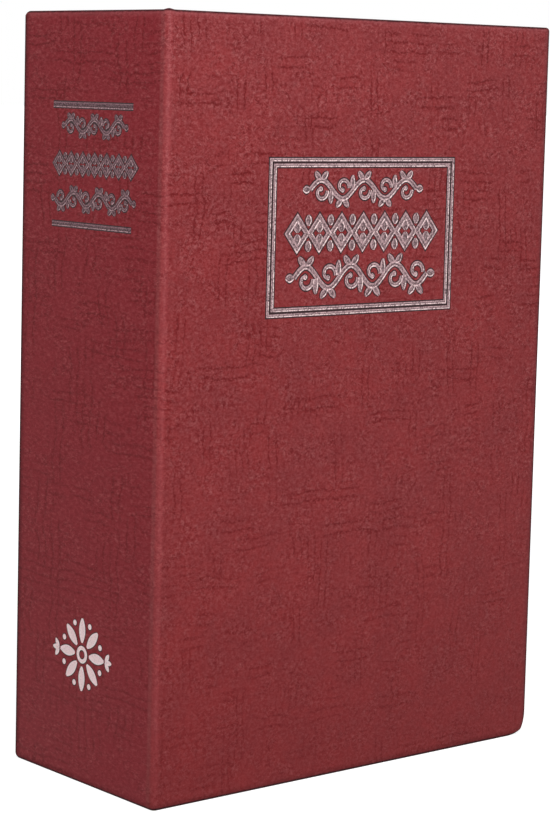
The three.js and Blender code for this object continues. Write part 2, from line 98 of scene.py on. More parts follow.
class Body(str, Enum):
    """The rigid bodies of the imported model."""

    CASE = "case"
    COVER = "front_cover"
    LID = "lid"
    PLUG = "lock_plug_and_cam"


@dataclass(frozen=True)
class BookPlan:
    """The planes of the closed book, read from the solids, in metres."""

    left: float
    right: float
    front: float
    back: float
    height: float
    cover: float
    page_front: float
    page_back: float
    page_right: float
    page_foot: float
    page_head: float
    crease: float = 1.6 * MM
    skin: float = 0.4 * MM
    turn_in: float = 12 * MM
    corner: float = 1 * MM

    @classmethod
    def from_frame(cls) -> "BookPlan":
        """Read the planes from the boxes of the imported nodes."""
        case_low, case_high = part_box("case_covering")
        cover_low, cover_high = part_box("front_covering")
        page_low, page_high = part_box("page_frame")
        return cls(
            left=case_low.x,
            right=case_high.x,
            front=cover_low.y,
            back=case_high.y,
            height=case_high.z,
            cover=cover_high.y - cover_low.y,
            page_front=page_low.y,
            page_back=page_high.y,
            page_right=page_high.x,
            page_foot=page_low.z,
            page_head=page_high.z,
        )


class Graph:
    """A shader node tree that is being filled, with short calls for its nodes and links."""

    def __init__(self, tree: bpy.types.NodeTree) -> None:
        """Keep the tree to fill."""
        self.tree = tree

    def add(self, kind: str, inputs: dict | None = None, **settings) -> bpy.types.Node:
        """Add a node.

        Args:
            kind: the node's type, such as ShaderNodeTexNoise.
            inputs: values, signals or output sockets for its input sockets, by name or number.
            settings: attributes of the node itself.

        Returns:
            The new node.
        """
        node = self.tree.nodes.new(kind)
        for name, value in settings.items():
            setattr(node, name, value)
        self.wire(node, inputs or {})
        return node

    def wire(self, node: bpy.types.Node, inputs: dict) -> None:
        """Feed several inputs of a node, by name or number."""
        for name, value in inputs.items():
            self.feed(node.inputs[name], value)

    def feed(self, socket: bpy.types.NodeSocket, value) -> None:
        """Link a signal or an output socket to an input socket, or set the input to a plain value."""
        source = value.socket if isinstance(value, Signal) else value
        if isinstance(source, bpy.types.NodeSocket):
            self.tree.links.new(source, socket)
        else:
            socket.default_value = source

    def read(self, output: str, kind: str, inputs: dict | None = None, **settings) -> "Signal":
        """Add a node and return one of its outputs."""
        return Signal(self, self.add(kind, inputs, **settings).outputs[output])

    def outputs(self, node: bpy.types.Node) -> dict[str, "Signal"]:
        """Return a node's outputs by name."""
        return {socket.name: Signal(self, socket) for socket in node.outputs}

    def use(self, group: bpy.types.NodeTree, inputs: dict) -> dict[str, "Signal"]:
        """Add a node group and return its outputs by name."""
        return self.outputs(self.add("ShaderNodeGroup", inputs, node_tree=group))

    def math(self, operation: str, first, second=0.0) -> "Signal":
        """Add a Math node and return its output."""
        node = self.add("ShaderNodeMath", {0: first, 1: second}, operation=operation)
        return Signal(self, node.outputs[0])

    def ramp(self, value, low: float, high: float, smooth: bool = True) -> "Signal":
        """Map low..high of a value to 0..1, clamped, and return the output."""
        kind = "SMOOTHSTEP" if smooth else "LINEAR"
        inputs = {"Value": value, "From Min": low, "From Max": high}
        return self.read("Result", "ShaderNodeMapRange", inputs, interpolation_type=kind, clamp=True)

    def blend(self, factor, first, second) -> "Signal":
        """Mix two colours and return the result."""
        node = self.add("ShaderNodeMix", data_type="RGBA")
        colours = [socket for socket in node.inputs if socket.type == "RGBA"]
        self.feed(node.inputs["Factor"], factor)
        self.feed(colours[0], first)
        self.feed(colours[1], second)
        return Signal(self, next(socket for socket in node.outputs if socket.type == "RGBA"))

    def layered(self, colour, layers: Sequence[tuple]) -> "Signal":
        """Lay colours over a first one, each given as its mask, its share of the mask and the colour."""
        for mask, share, tone in layers:
            colour = self.blend(mask * share, colour, tone)
        return colour

    def noise(
        self, vector, scale, detail: float = 2.0, rough=0.5, warp: float = 0.0, offset: Triple = (0, 0, 0)
    ) -> "Signal":
        """Add a Noise Texture and return its factor; a scale of three numbers stretches the coordinate first."""
        if isinstance(scale, tuple):
            vector, scale = self.stretch(vector, scale, offset), 1.0
        inputs = {"Vector": vector, "Scale": scale, "Detail": detail, "Roughness": rough, "Distortion": warp}
        return self.read("Fac", "ShaderNodeTexNoise", inputs, noise_dimensions="3D")

    def stretch(self, vector, scale: Triple, offset: Triple = (0, 0, 0)) -> "Signal":
        """Scale and shift a coordinate and return it."""
        inputs = {"Vector": vector, "Scale": scale, "Location": offset}
        return self.read("Vector", "ShaderNodeMapping", inputs, vector_type="POINT")

    def split(self, vector) -> list["Signal"]:
        """Return the X, Y and Z of a vector."""
        return list(self.outputs(self.add("ShaderNodeSeparateXYZ", {"Vector": vector})).values())

    def bump(self, height, distance: float, strength: float) -> "Signal":
        """Turn a height of 0 to 1 into a normal, with the distance in metres."""
        inputs = {"Height": height, "Distance": distance, "Strength": strength}
        return self.read("Normal", "ShaderNodeBump", inputs)

    def close(self, outputs: dict[str, "Signal"]) -> bpy.types.NodeTree:
        """Give a group its outputs, all of them numbers, and return its tree."""
        for name in outputs:
            self.tree.interface.new_socket(name, in_out="OUTPUT", socket_type="NodeSocketFloat")
        self.wire(self.add("NodeGroupOutput"), outputs)
        return self.tree


@dataclass(frozen=True)
class Signal:
    """An output socket that can be reckoned with like a number: each step adds a Math node."""

    graph: Graph
    socket: bpy.types.NodeSocket

    def __add__(self, other) -> "Signal":
        """Add."""
        return self.graph.math("ADD", self, other)

    def __sub__(self, other) -> "Signal":
        """Take away."""
        return self.graph.math("SUBTRACT", self, other)

    def __rsub__(self, other) -> "Signal":
        """Be taken away."""
        return self.graph.math("SUBTRACT", other, self)

    def __mul__(self, other) -> "Signal":
        """Multiply."""
        return self.graph.math("MULTIPLY", self, other)

    def __truediv__(self, other) -> "Signal":
        """Divide."""
        return self.graph.math("DIVIDE", self, other)

    def __abs__(self) -> "Signal":
        """Drop the sign."""
        return self.graph.math("ABSOLUTE", self)

    def clamped(self) -> "Signal":
        """Keep the last step's result within 0 and 1."""
        self.socket.node.use_clamp = True
        return self


def new_group(name: str, inputs: dict) -> tuple[Graph, dict[str, Signal]]:
    """Start a shader node group.

    Args:
        name: the group's name.
        inputs: each input's default; a tuple makes a vector input, and None one without a default.

    Returns:
        The group's graph and its inputs by name.
    """
    tree = bpy.data.node_groups.new(name, "ShaderNodeTree")
    for label, value in inputs.items():
        kind = "NodeSocketFloat" if isinstance(value, float) else "NodeSocketVector"
        socket = tree.interface.new_socket(label, in_out="INPUT", socket_type=kind)
        if value is not None:
            socket.default_value = value
    graph = Graph(tree)
    return graph, graph.outputs(graph.add("NodeGroupInput"))


@dataclass(frozen=True)
class Effects:
    """The shader node groups that several materials share."""

    grain: bpy.types.NodeTree
    mottle: bpy.types.NodeTree
    scuffs: bpy.types.NodeTree

    @classmethod
    def build(cls) -> "Effects":
        """Make each group once."""
        return cls(grain=cls._grain(), mottle=cls._mottle(), scuffs=cls._scuffs())

    @staticmethod
    def _grain() -> bpy.types.NodeTree:
        """Pressed grain: pairs of level and upright lines over clusters of short worm-like marks."""
        defaults = {"Vector": None, "Calm": 0.0, "Extra Lines": 0.0, "Level Pitch": 2.2, "Upright Pitch": 2.0}
        graph, given = new_group("Pressed grain", defaults)
        point, calm = given["Vector"], given["Calm"]
        x, y, _ = graph.split(point)
        wander = graph.noise(point, (0.09, 0.06, 1))
        sway = graph.noise(point, (0.06, 0.09, 1), offset=(31, 17, 0))
        fray = (graph.noise(point, 0.75, 3.0, 0.65) - 0.5) * 1.6
        worn_away = graph.ramp(graph.noise(point, (1.6, 1.6, 1), 1.0, offset=(5, 29, 0)), 0.3, 0.55)

        def creases(
            across: Signal, along: Signal, drift: Signal, pitch: Signal, run: float, seed: float, few: float
        ) -> Signal:
            phase = (across + (drift - 0.5) * 4.0 + fray) / pitch
            pair = graph.math("FLOOR", phase * 0.5)
            distance = abs(graph.math("FRACT", phase) - 0.5)
            place = {"X": along * run, "Y": pair * 4.37, "Z": seed}
            spot = graph.read("Vector", "ShaderNodeCombineXYZ", place)
            chance = graph.noise(spot, 1.0, 1.5) + given["Extra Lines"]
            return graph.ramp(distance, 0.21, 0.04) * graph.ramp(chance, few, few + 0.1)

        level = creases(y, x, wander, given["Level Pitch"], 0.08, 0.5, 0.535)
        upright = creases(x, y, sway, given["Upright Pitch"], 0.075, 3.5, 0.545)
        loud = 1.0 - calm
        lines = graph.math("MAXIMUM", level, upright) * worn_away * loud
        clusters = graph.ramp(graph.noise(point, (0.15, 0.17, 1), 2.5, 0.55, 0.6, (3, 9, 0)), 0.43, 0.6)

        def marks(offset: Triple, wide: float) -> Signal:
            veins = abs(graph.noise(point, (0.52, 0.66, 1), 2.0, 0.55, 1.2, offset) - 0.5)
            broken = graph.ramp(graph.noise(point, (0.8, 0.8, 1), 1.0, offset=offset), 0.45, 0.55)
            return graph.ramp(veins, wide, 0.0, False) * broken

        share = (clusters * 0.6 + 0.35) * loud
        dark = marks((7, 2, 0), 0.07) * share
        light = marks((19, 23, 0), 0.06) * share
        even = graph.noise(point, (1.25, 1.6, 1), 2.0, 0.8 - calm * 0.35, 0.7, (13, 5, 0))
        pebbles = (even - 0.5) * ((clusters * 0.4 + 0.8) * loud) + 0.5
        height = light * 0.35 + pebbles * 0.8 - (dark * 0.5 + lines * 0.5)
        return graph.close(
            {"Height": height, "Lines": lines, "Dark Marks": dark, "Light Marks": light, "Pebbles": pebbles}
        )

    @staticmethod
    def _mottle() -> bpy.types.NodeTree:
        """Soft uneven tone at two sizes, 0 to 1."""
        graph, given = new_group("Mottle", {"Vector": None, "Coarse": 0.05, "Fine": 1.0, "Fine Share": 0.4})
        coarse = graph.noise(given["Vector"], given["Coarse"], 3.0)
        fine = graph.noise(given["Vector"], given["Fine"], 4.0)
        mixed = graph.read("Result", "ShaderNodeMix", {"Factor": given["Fine Share"], "A": coarse, "B": fine})
        return graph.close({"Tone": graph.ramp(mixed, 0.3, 0.7)})

    @staticmethod
    def _scuffs() -> bpy.types.NodeTree:
        """Hairline scratches and small marks on metal, 0 to 1."""
        graph, given = new_group("Scuffs", {"Vector": None, "Along": (0.1, 3.0, 3.0), "Amount": 0.5})
        factors = {0: given["Vector"], 1: given["Along"]}
        scaled = graph.read("Vector", "ShaderNodeVectorMath", factors, operation="MULTIPLY")
        scratch = abs(graph.noise(scaled, 0.6, 2.0, 0.5, 1.5) - 0.5)
        marks = graph.ramp(scratch, 0.012, 0.0) * given["Amount"]
        return graph.close({"Marks": marks, "Brushing": graph.noise(scaled, 3.0, 5.0, 0.7)})


def millimetres(graph: Graph) -> Signal:
    """Return the object's own coordinate in millimetres."""
    return graph.stretch(graph.read("Object", "ShaderNodeTexCoord"), (1 / MM,) * 3)


def start_material(name: str) -> tuple[bpy.types.Material, Graph, bpy.types.Node]:
    """Make a material with one Principled BSDF wired to its output.

    Returns:
        The material, its graph and the Principled BSDF.
    """
    material = bpy.data.materials.new(name)
    material.use_nodes = True
    material.node_tree.nodes.clear()
    graph = Graph(material.node_tree)
    shader = graph.add("ShaderNodeBsdfPrincipled")
    graph.add("ShaderNodeOutputMaterial", {"Surface": shader.outputs["BSDF"]})
    return material, graph, shader


@dataclass(frozen=True)
class Finish:
    """A material made from its own colours and the shared effects."""

    name: str

    def build(self, effects: Effects) -> bpy.types.Material:
        """Make the material."""
        material, graph, shader = start_material(self.name)
        graph.wire(shader, self.surface(graph, effects))
        return material

    def surface(self, graph: Graph, effects: Effects) -> dict:
        """Return what the Principled BSDF's inputs are fed with, by name."""
        raise NotImplementedError


@dataclass(frozen=True)
class Leatherette(Finish):
    """Wine red paper-backed leatherette with a pressed grain, laid on the covering's own UV map.

    The bands are heights in millimetres, over which the grain fades, the colour turns paler with painted light towards
    the head and darker with painted shade towards the foot.
    """

    base: Colour = srgb(138, 49, 51)
    plum: Colour = srgb(122, 47, 50)
    # The spine's colour is the same leatherette painted in shade.
    spine: Colour = srgb(130, 33, 42)
    # These two colours are partly the grain's own tone and partly painted glints and shade on its relief.
    deep: Colour = srgb(96, 10, 14)
    light: Colour = srgb(170, 100, 101)
    # The next two colours are painted highlight: they lighten the crease crests and the edge crests where light catches
    # them.
    fresh: Colour = srgb(150, 52, 58)
    highlight_pale: Colour = srgb(194, 127, 130)
    # Painted shade: a near-black tone laid along the rounded board edges, the foot and the rear crease.
    edge: Colour = srgb(32, 14, 18)
    roughness: float = 0.4
    press_depth: float = 0.055 * MM
    fade_band: Pair = (150, 10)
    # The head band is painted light and the foot band painted shade.
    head_band: Pair = (110, 180)
    foot_band: Pair = (60, 0)

    def surface(self, graph: Graph, effects: Effects) -> dict:
        """Lay the grain's tones over the base, then painted light at the head, painted shade at the foot, painted
        highlight on the creases and edge crests, and painted shade on the edges.
        """
        point = graph.stretch(graph.read("UV", "ShaderNodeUVMap", uv_map="Sheet"), (1 / MM,) * 3)
        quiet, rub, edge = (
            graph.read("Fac", "ShaderNodeAttribute", attribute_name=name) for name in ("quiet", "rub", "edge")
        )
        height = graph.split(point)[1]
        faded = graph.ramp(height, *self.fade_band, False) * (0.52 - quiet * 0.3)
        calm = (faded + quiet * 0.2 + rub * 0.2).clamped()
        grain = graph.use(effects.grain, {"Vector": point, "Calm": calm, "Extra Lines": quiet * 0.035})
        mottle = graph.use(effects.mottle, {"Vector": point, "Coarse": 0.07, "Fine": 0.5})
        pebbles, boards = grain["Pebbles"], 1.0 - quiet
        layers = (
            (mottle["Tone"], 0.8, self.plum),
            # Painted shade: the spine is a darker copy of the boards' leatherette.
            (quiet, 0.8, self.spine),
            # The pebbles' and marks' pale and dark tones are partly the grain's own colour and partly painted glints
            # and shade on its pressed relief.
            (graph.ramp(pebbles, 0.5, 0.34, False), 0.58, self.deep),
            (graph.ramp(pebbles, 0.5, 0.68, False), 0.41, self.light),
            (grain["Dark Marks"], 0.88, self.deep),
            (grain["Light Marks"] * (1.0 - quiet * 0.6), 0.45, self.light),
            (grain["Lines"], 0.8, self.deep),
            # Painted light towards the head and painted shade towards the foot.
            (graph.ramp(height, *self.head_band) * boards, 0.03, self.light),
            (graph.ramp(height, *self.foot_band, False) * boards, 0.19, self.deep),
            # Painted highlight on the crease crests and the edge crests.
            (graph.ramp(rub, 0.0, 0.16, False), 0.14, self.fresh),
            (rub * graph.ramp(pebbles, 0.2, 0.55), 0.26, self.highlight_pale),
            # Painted shade on the rounded edges and along the rear crease.
            (edge * (graph.ramp(pebbles, 0.62, 0.4) * 0.25 + 0.7), 1.0, self.edge),
        )
        return {
            "Base Color": graph.layered(self.base, layers),
            "Roughness": (pebbles * 0.2 + self.roughness + edge * 0.35).clamped(),
            "Normal": graph.bump(grain["Height"], self.press_depth, 1.0),
            "Specular IOR Level": 0.1,
        }


@dataclass(frozen=True)
class Foil(Finish):
    """Hot-stamped foil: painted highlight on the rims that face a fixed light, a middle painted as dark reflection and
    a border of painted shade.
    """

    # The glint and the lighter rim are painted highlight and reflection, and the darker middle is painted dark
    # reflection.
    glint: Colour
    rim: Colour
    middle: Colour
    metallic: float
    roughness: float
    breaks: float = 0.8
    groove: float = 0.85
    # Painted shade: the dark colour of the border round each stroke.
    border: Colour = srgb(38, 10, 16)

    def surface(self, graph: Graph, effects: Effects) -> dict:
        """Read the side of the stroke that a point faces, and how far across it is, from the stroke's UV map."""
        side, across, _ = graph.split(graph.read("UV", "ShaderNodeUVMap", uv_map="Stroke"))
        point = millimetres(graph)
        from_middle = abs(across - 0.5)
        # The next mask picks the side of each stroke that faces a fixed light direction, for painted highlight on its
        # rim and painted shade in its groove.
        lit = graph.ramp(side, 0.55, 0.85)
        rims = graph.ramp(from_middle, 0.09, 0.19)
        groove = graph.ramp(from_middle, 0.02, 0.07) * graph.ramp(from_middle, 0.17, 0.11)
        tone = graph.use(effects.mottle, {"Vector": point, "Coarse": 0.5, "Fine": 2.0, "Fine Share": 0.8})["Tone"]
        grit = graph.ramp(graph.noise(point, (2.4, 2.4, 2.4), 1.5, 0.6, offset=(4, 4, 4)), 0.4, 0.6)
        bright = rims * lit * graph.ramp(tone, 0.2, 0.65)
        shown = (rims * (tone * 0.95 + 0.2)).clamped()
        foil = graph.layered(self.middle, ((shown, 1.0, self.rim), (grit, 0.55, self.rim), (bright, 1.0, self.glint)))
        chips_and_groove_shade = graph.ramp(graph.noise(point, 2.8, 2.0, 0.6), 0.48, 0.37) * self.breaks
        # Painted shade in the groove on the side that faces the light, shown in the dark border colour, together with
        # real chipping.
        chips_and_groove_shade = graph.math("MAXIMUM", chips_and_groove_shade, groove * lit * self.groove)
        kept = graph.ramp(from_middle, 0.38, 0.34, False) * (1.0 - chips_and_groove_shade)
        return {
            # Outside the foil, and where it is chipped, the border's painted shade shows.
            "Base Color": graph.blend(kept, self.border, foil),
            "Metallic": kept * (1.0 - bright * 0.8) * self.metallic,
            "Roughness": tone * 0.25 + self.roughness,
            "Normal": graph.bump(tone, 0.06 * MM, 0.7),
            "Specular IOR Level": 0.22,
        }


@dataclass(frozen=True)
class PageEdges(Finish):
    """Moulded ivory plastic whose faces carry the fine lines of stacked leaves."""

    base: Colour = srgb(228, 214, 182)
    line: Colour = srgb(176, 152, 112)
    pitch: float = 0.42

    def surface(self, graph: Graph, effects: Effects) -> dict:
        """Stack the lines along the object's Y."""
        point = millimetres(graph)
        stacked = graph.split(point)[1] + graph.noise(point, (0.05, 0.4, 0.05)) * 0.25
        gap = graph.ramp(abs(graph.math("FRACT", stacked / self.pitch) - 0.5), 0.16, 0.03)
        uneven = graph.noise(point, (0.03, 2.2, 0.03), 3.0, 0.6)
        strength = gap * graph.ramp(uneven, 0.3, 0.7)
        tone = graph.use(effects.mottle, {"Vector": point, "Coarse": 0.03})["Tone"]
        return {
            "Base Color": graph.layered(self.base, ((tone, 0.25, self.line), (strength, 0.6, self.line))),
            "Roughness": strength * 0.2 + 0.52,
            "Normal": graph.bump(uneven * 0.3 - strength, 0.08 * MM, 0.8),
        }


@dataclass(frozen=True)
class Paper(Finish):
    """Endpaper or raw greyboard: matt, fibrous and slightly uneven."""

    base: Colour
    fleck: Colour
    fleck_share: float = 0.3

    def surface(self, graph: Graph, effects: Effects) -> dict:
        """Fleck the base along its fibres."""
        point = millimetres(graph)
        tone = graph.use(effects.mottle, {"Vector": point, "Coarse": 0.06, "Fine": 1.4})["Tone"]
        fibre = graph.noise(point, (2.6, 2.6, 0.7), 4.0, 0.7, 0.8)
        flecks = graph.ramp(fibre, 0.5, 0.68) * self.fleck_share + tone * (self.fleck_share * 0.5)
        return {
            "Base Color": graph.blend(flecks, self.base, self.fleck),
            "Roughness": fibre * 0.1 + 0.8,
            "Normal": graph.bump(fibre, 0.03 * MM, 0.7),
            "Specular IOR Level": 0.3,
        }


@dataclass(frozen=True)
class PowderCoat(Finish):
    """Fine black powder coat on folded steel."""

    base: Colour = srgb(34, 34, 36)
    worn: Colour = srgb(74, 74, 76)

    def surface(self, graph: Graph, effects: Effects) -> dict:
        """Wear the coat along its scratches."""
        point = millimetres(graph)
        peel = graph.noise(point, 3.2)
        marks = graph.use(effects.scuffs, {"Vector": point, "Along": (0.25, 0.6, 0.12)})["Marks"]
        tone = graph.use(effects.mottle, {"Vector": point})["Tone"]
        return {
            "Base Color": graph.blend((marks * 0.5 + tone * 0.12).clamped(), self.base, self.worn),
            "Roughness": peel * 0.2 + 0.34,
            "Normal": graph.bump(peel, 0.05 * MM, 0.55),
            "Coat Weight": 0.15,
        }


@dataclass(frozen=True)
class PlatedSteel(Finish):
    """Zinc or nickel plate with brushing and hairline marks."""

    base: Colour
    dull: Colour
    roughness: float
    along: Triple = (3.0, 3.0, 0.2)

    def surface(self, graph: Graph, effects: Effects) -> dict:
        """Dull the plate unevenly and brush it."""
        point = millimetres(graph)
        scuffs = graph.use(effects.scuffs, {"Vector": point, "Along": self.along})
        tone = graph.use(effects.mottle, {"Vector": point, "Coarse": 0.25})["Tone"]
        return {
            "Base Color": graph.blend((tone * 0.5 + scuffs["Marks"] * 0.4).clamped(), self.base, self.dull),
            "Roughness": scuffs["Brushing"] * 0.2 + self.roughness,
            "Normal": graph.bump(scuffs["Brushing"], 0.02 * MM, 0.4),
            "Metallic": 1.0,
        }


@dataclass(frozen=True)
class Finishes:
    """Every material of the book safe."""

    leatherette: bpy.types.Material
    silver_foil: bpy.types.Material
    spine_foil: bpy.types.Material
    white_foil: bpy.types.Material
    pages: bpy.types.Material
    endpaper: bpy.types.Material
    greyboard: bpy.types.Material
    powder_coat: bpy.types.Material
    zinc: bpy.types.Material
    nickel: bpy.types.Material

    @classmethod
    def build(cls) -> "Finishes":
        """Make every material from the shared effects."""
        # Each foil's first two colours are painted highlight and reflection, and its third is painted dark reflection.
        silver = (srgb(255, 226, 226), srgb(200, 166, 169), srgb(104, 84, 88), 0.65, 0.3)
        # The spine's foil is the front's silver foil painted darker in shade.
        spine = (srgb(186, 150, 154), srgb(142, 108, 114), srgb(74, 48, 55), 0.7, 0.34)
        white = (srgb(255, 238, 238), srgb(255, 230, 231), srgb(253, 224, 226), 0.0, 0.5)
        finishes = {
            "leatherette": Leatherette("Leatherette"),
            "silver_foil": Foil("Silver foil", *silver, breaks=0.7),
            "spine_foil": Foil("Spine foil", *spine, breaks=1.0),
            "white_foil": Foil("White foil", *white, breaks=0.2, groove=0),
            "pages": PageEdges("Page edges"),
            "endpaper": Paper("Endpaper", srgb(232, 222, 200), srgb(204, 190, 160)),
            "greyboard": Paper("Greyboard", srgb(150, 142, 128), srgb(104, 98, 88), 0.6),
            "powder_coat": PowderCoat("Powder coat"),
            "zinc": PlatedSteel("Zinc plate", srgb(196, 198, 200), srgb(150, 152, 156), 0.26),
            "nickel": PlatedSteel("Nickel plate", srgb(214, 210, 202), srgb(176, 170, 160), 0.14),
        }
        effects = Effects.build()
        return cls(**{name: finish.build(effects) for name, finish in finishes.items()})


def finish_mesh(name: str, shape: bmesh.types.BMesh, material: bpy.types.Material, sharp: float) -> bpy.types.Object:
    """Turn a bmesh into a shown object.

    Args:
        name: the piece's name.
        shape: the bmesh, which is freed.
        material: the piece's material.
        sharp: the angle in degrees past which an edge is shaded sharp.

    Returns:
        The new object, at the origin.
    """
    mesh = bpy.data.meshes.new(name)
    shape.to_mesh(mesh)
    shape.free()
    mesh.materials.append(material)
    mesh.shade_smooth()
    mesh.set_sharp_from_angle(angle=math.radians(sharp))
    piece = bpy.data.objects.new(name, mesh)
    bpy.context.scene.collection.objects.link(piece)
    LOG.info("%s: %d faces", name, len(mesh.polygons))
    return piece


def hang(piece: bpy.types.Object, body: Body, slot: str, *nodes: str) -> None:
    """Let a piece ride on a body and hide the solids that it stands for."""
    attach(piece, body.value)
    if nodes:
        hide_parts(*nodes)


def softened(node: bpy.types.Object, width: float) -> bmesh.types.BMesh:
    """Copy a solid and round its sharp edges by a width in metres."""
    shape = bmesh.new()
    shape.from_mesh(node.data)
    bmesh.ops.remove_doubles(shape, verts=shape.verts, dist=WELD)
    bmesh.ops.dissolve_limit(shape, angle_limit=FLAT_ANGLE, verts=shape.verts, edges=shape.edges)
    sharp = [edge for edge in shape.edges if len(edge.link_faces) == 2 and edge.calc_face_angle() > SHARP_ANGLE]
    bmesh.ops.bevel(
        shape,
        geom=sharp,
        offset=width,
        offset_type="OFFSET",
        affect="EDGES",
        segments=2,
        profile=0.5,
        material=-1,
        clamp_overlap=True,
    )
    return shape


def spread(shape: bmesh.types.BMesh, columns: int, rows: int) -> list[tuple[bmesh.types.BMVert, float, float]]:
    """Add a grid of faces and return each of its vertices with its shares, 0 to 1, along and up the grid."""
    made = bmesh.ops.create_grid(shape, x_segments=columns, y_segments=rows, size=1.0)
    return [(vert, (vert.co.x + 1) / 2, (vert.co.y + 1) / 2) for vert in made["verts"]]


def extruded(shape: bmesh.types.BMesh, edges: list) -> tuple[list, list]:
    """Extrude edges in place and return the new vertices and the new edges between them."""
    grown = bmesh.ops.extrude_edge_only(shape, edges=edges)["geom"]
    verts = [item for item in grown if isinstance(item, bmesh.types.BMVert)]
    fresh = set(verts)
    return verts, [item for item in grown if isinstance(item, bmesh.types.BMEdge) and set(item.verts) <= fresh]


def polar(centre: Pair, radius: float, angle: float) -> Pair:
    """Return the point at a distance and an angle from a centre."""
    return (centre[0] + radius * math.cos(angle), centre[1] + radius * math.sin(angle))


def on_disc(p: float, q: float) -> Pair:
    """Map a place in a square to the disc inside it."""
    return p * math.sqrt(1 - q * q / 2), q * math.sqrt(1 - p * p / 2)


def turned(shape: bmesh.types.BMesh, profile: Sequence[Pair], centre: Vector, axis: Vector, steps: int) -> None:
    """Spin a profile of radius and distance along the axis into a closed turned part.

    Args:
        shape: the bmesh to add to.
        profile: pairs of radius and distance along the axis, in metres, from the axis back to the axis.
        centre: the point that distances are measured from.
        axis: the unit vector along the axis.
        steps: the number of facets round the axis.
    """
    side = axis.orthogonal().normalized()
    verts = [shape.verts.new(centre + radius * side + along * axis) for radius, along in profile]
    edges = [shape.edges.new(pair) for pair in zip(verts, verts[1:])]
    bmesh.ops.spin(
        shape,
        geom=verts + edges,
        cent=centre,
        axis=axis,
        angle=math.tau,
        steps=steps,
        use_merge=True,
        use_duplicate=False,
    )
    bmesh.ops.remove_doubles(shape, verts=shape.verts, dist=2 * CLOSE)
    bmesh.ops.recalc_face_normals(shape, faces=shape.faces)


def lofted(shape: bmesh.types.BMesh, rings: Sequence[Sequence[Vector]]) -> None:
    """Extrude a ring of points from place to place and join its two ends."""
    first = [shape.verts.new(point) for point in rings[0]]
    count = len(first)
    loop = start = [shape.edges.new((first[i], first[(i + 1) % count])) for i in range(count)]
    for ring in rings[1:]:
        verts, loop = extruded(shape, loop)
        fresh = set(verts)
        matched = {}
        for vert in verts:
            old = next(edge.other_vert(vert) for edge in vert.link_edges if edge.other_vert(vert) not in fresh)
            matched[old] = vert
        first = [matched[vert] for vert in first]
        for vert, point in zip(first, ring):
            vert.co = point
    bmesh.ops.bridge_loops(shape, edges=start + loop)
    bmesh.ops.recalc_face_normals(shape, faces=shape.faces)


def settled(piece: bpy.types.Object) -> None:
    """Replace a piece's mesh by what its modifiers make of it."""
    bpy.context.view_layer.update()
    result = bpy.data.meshes.new_from_object(piece.evaluated_get(bpy.context.evaluated_depsgraph_get()))
    if not result.polygons:
        raise RuntimeError(f"{piece.name}: its modifiers left nothing of the piece")
    piece.modifiers.clear()
    old = piece.data
    piece.data = result
    result.name = old.name
    bpy.data.meshes.remove(old)


def flattened(piece: bpy.types.Object) -> None:
    """Weigh each corner's normal by its faces' areas, so that rounded edges don't tint a large flat face."""
    even = piece.modifiers.new("even", "WEIGHTED_NORMAL")
    even.mode = "FACE_AREA"
    even.keep_sharp = True
    settled(piece)


def carved(piece: bpy.types.Object, cutter: bmesh.types.BMesh) -> None:
    """Cut a shape out of a piece for good; the shape's own parts must not cross each other."""
    mesh = bpy.data.meshes.new("cutter")
    cutter.to_mesh(mesh)
    cutter.free()
    tool = bpy.data.objects.new("cutter", mesh)
    bpy.context.scene.collection.objects.link(tool)
    cut = piece.modifiers.new("cut", "BOOLEAN")
    cut.operation = "DIFFERENCE"
    cut.solver = "EXACT"
    cut.object = tool
    settled(piece)
    bpy.data.objects.remove(tool)
    bpy.data.meshes.remove(mesh)
    piece.data.set_sharp_from_angle(angle=math.radians(35))


class Half(Enum):
    """The two parts of the covering sheet, which meet unseen beside the rear crease."""

    FRONT = "front"
    BACK = "back"


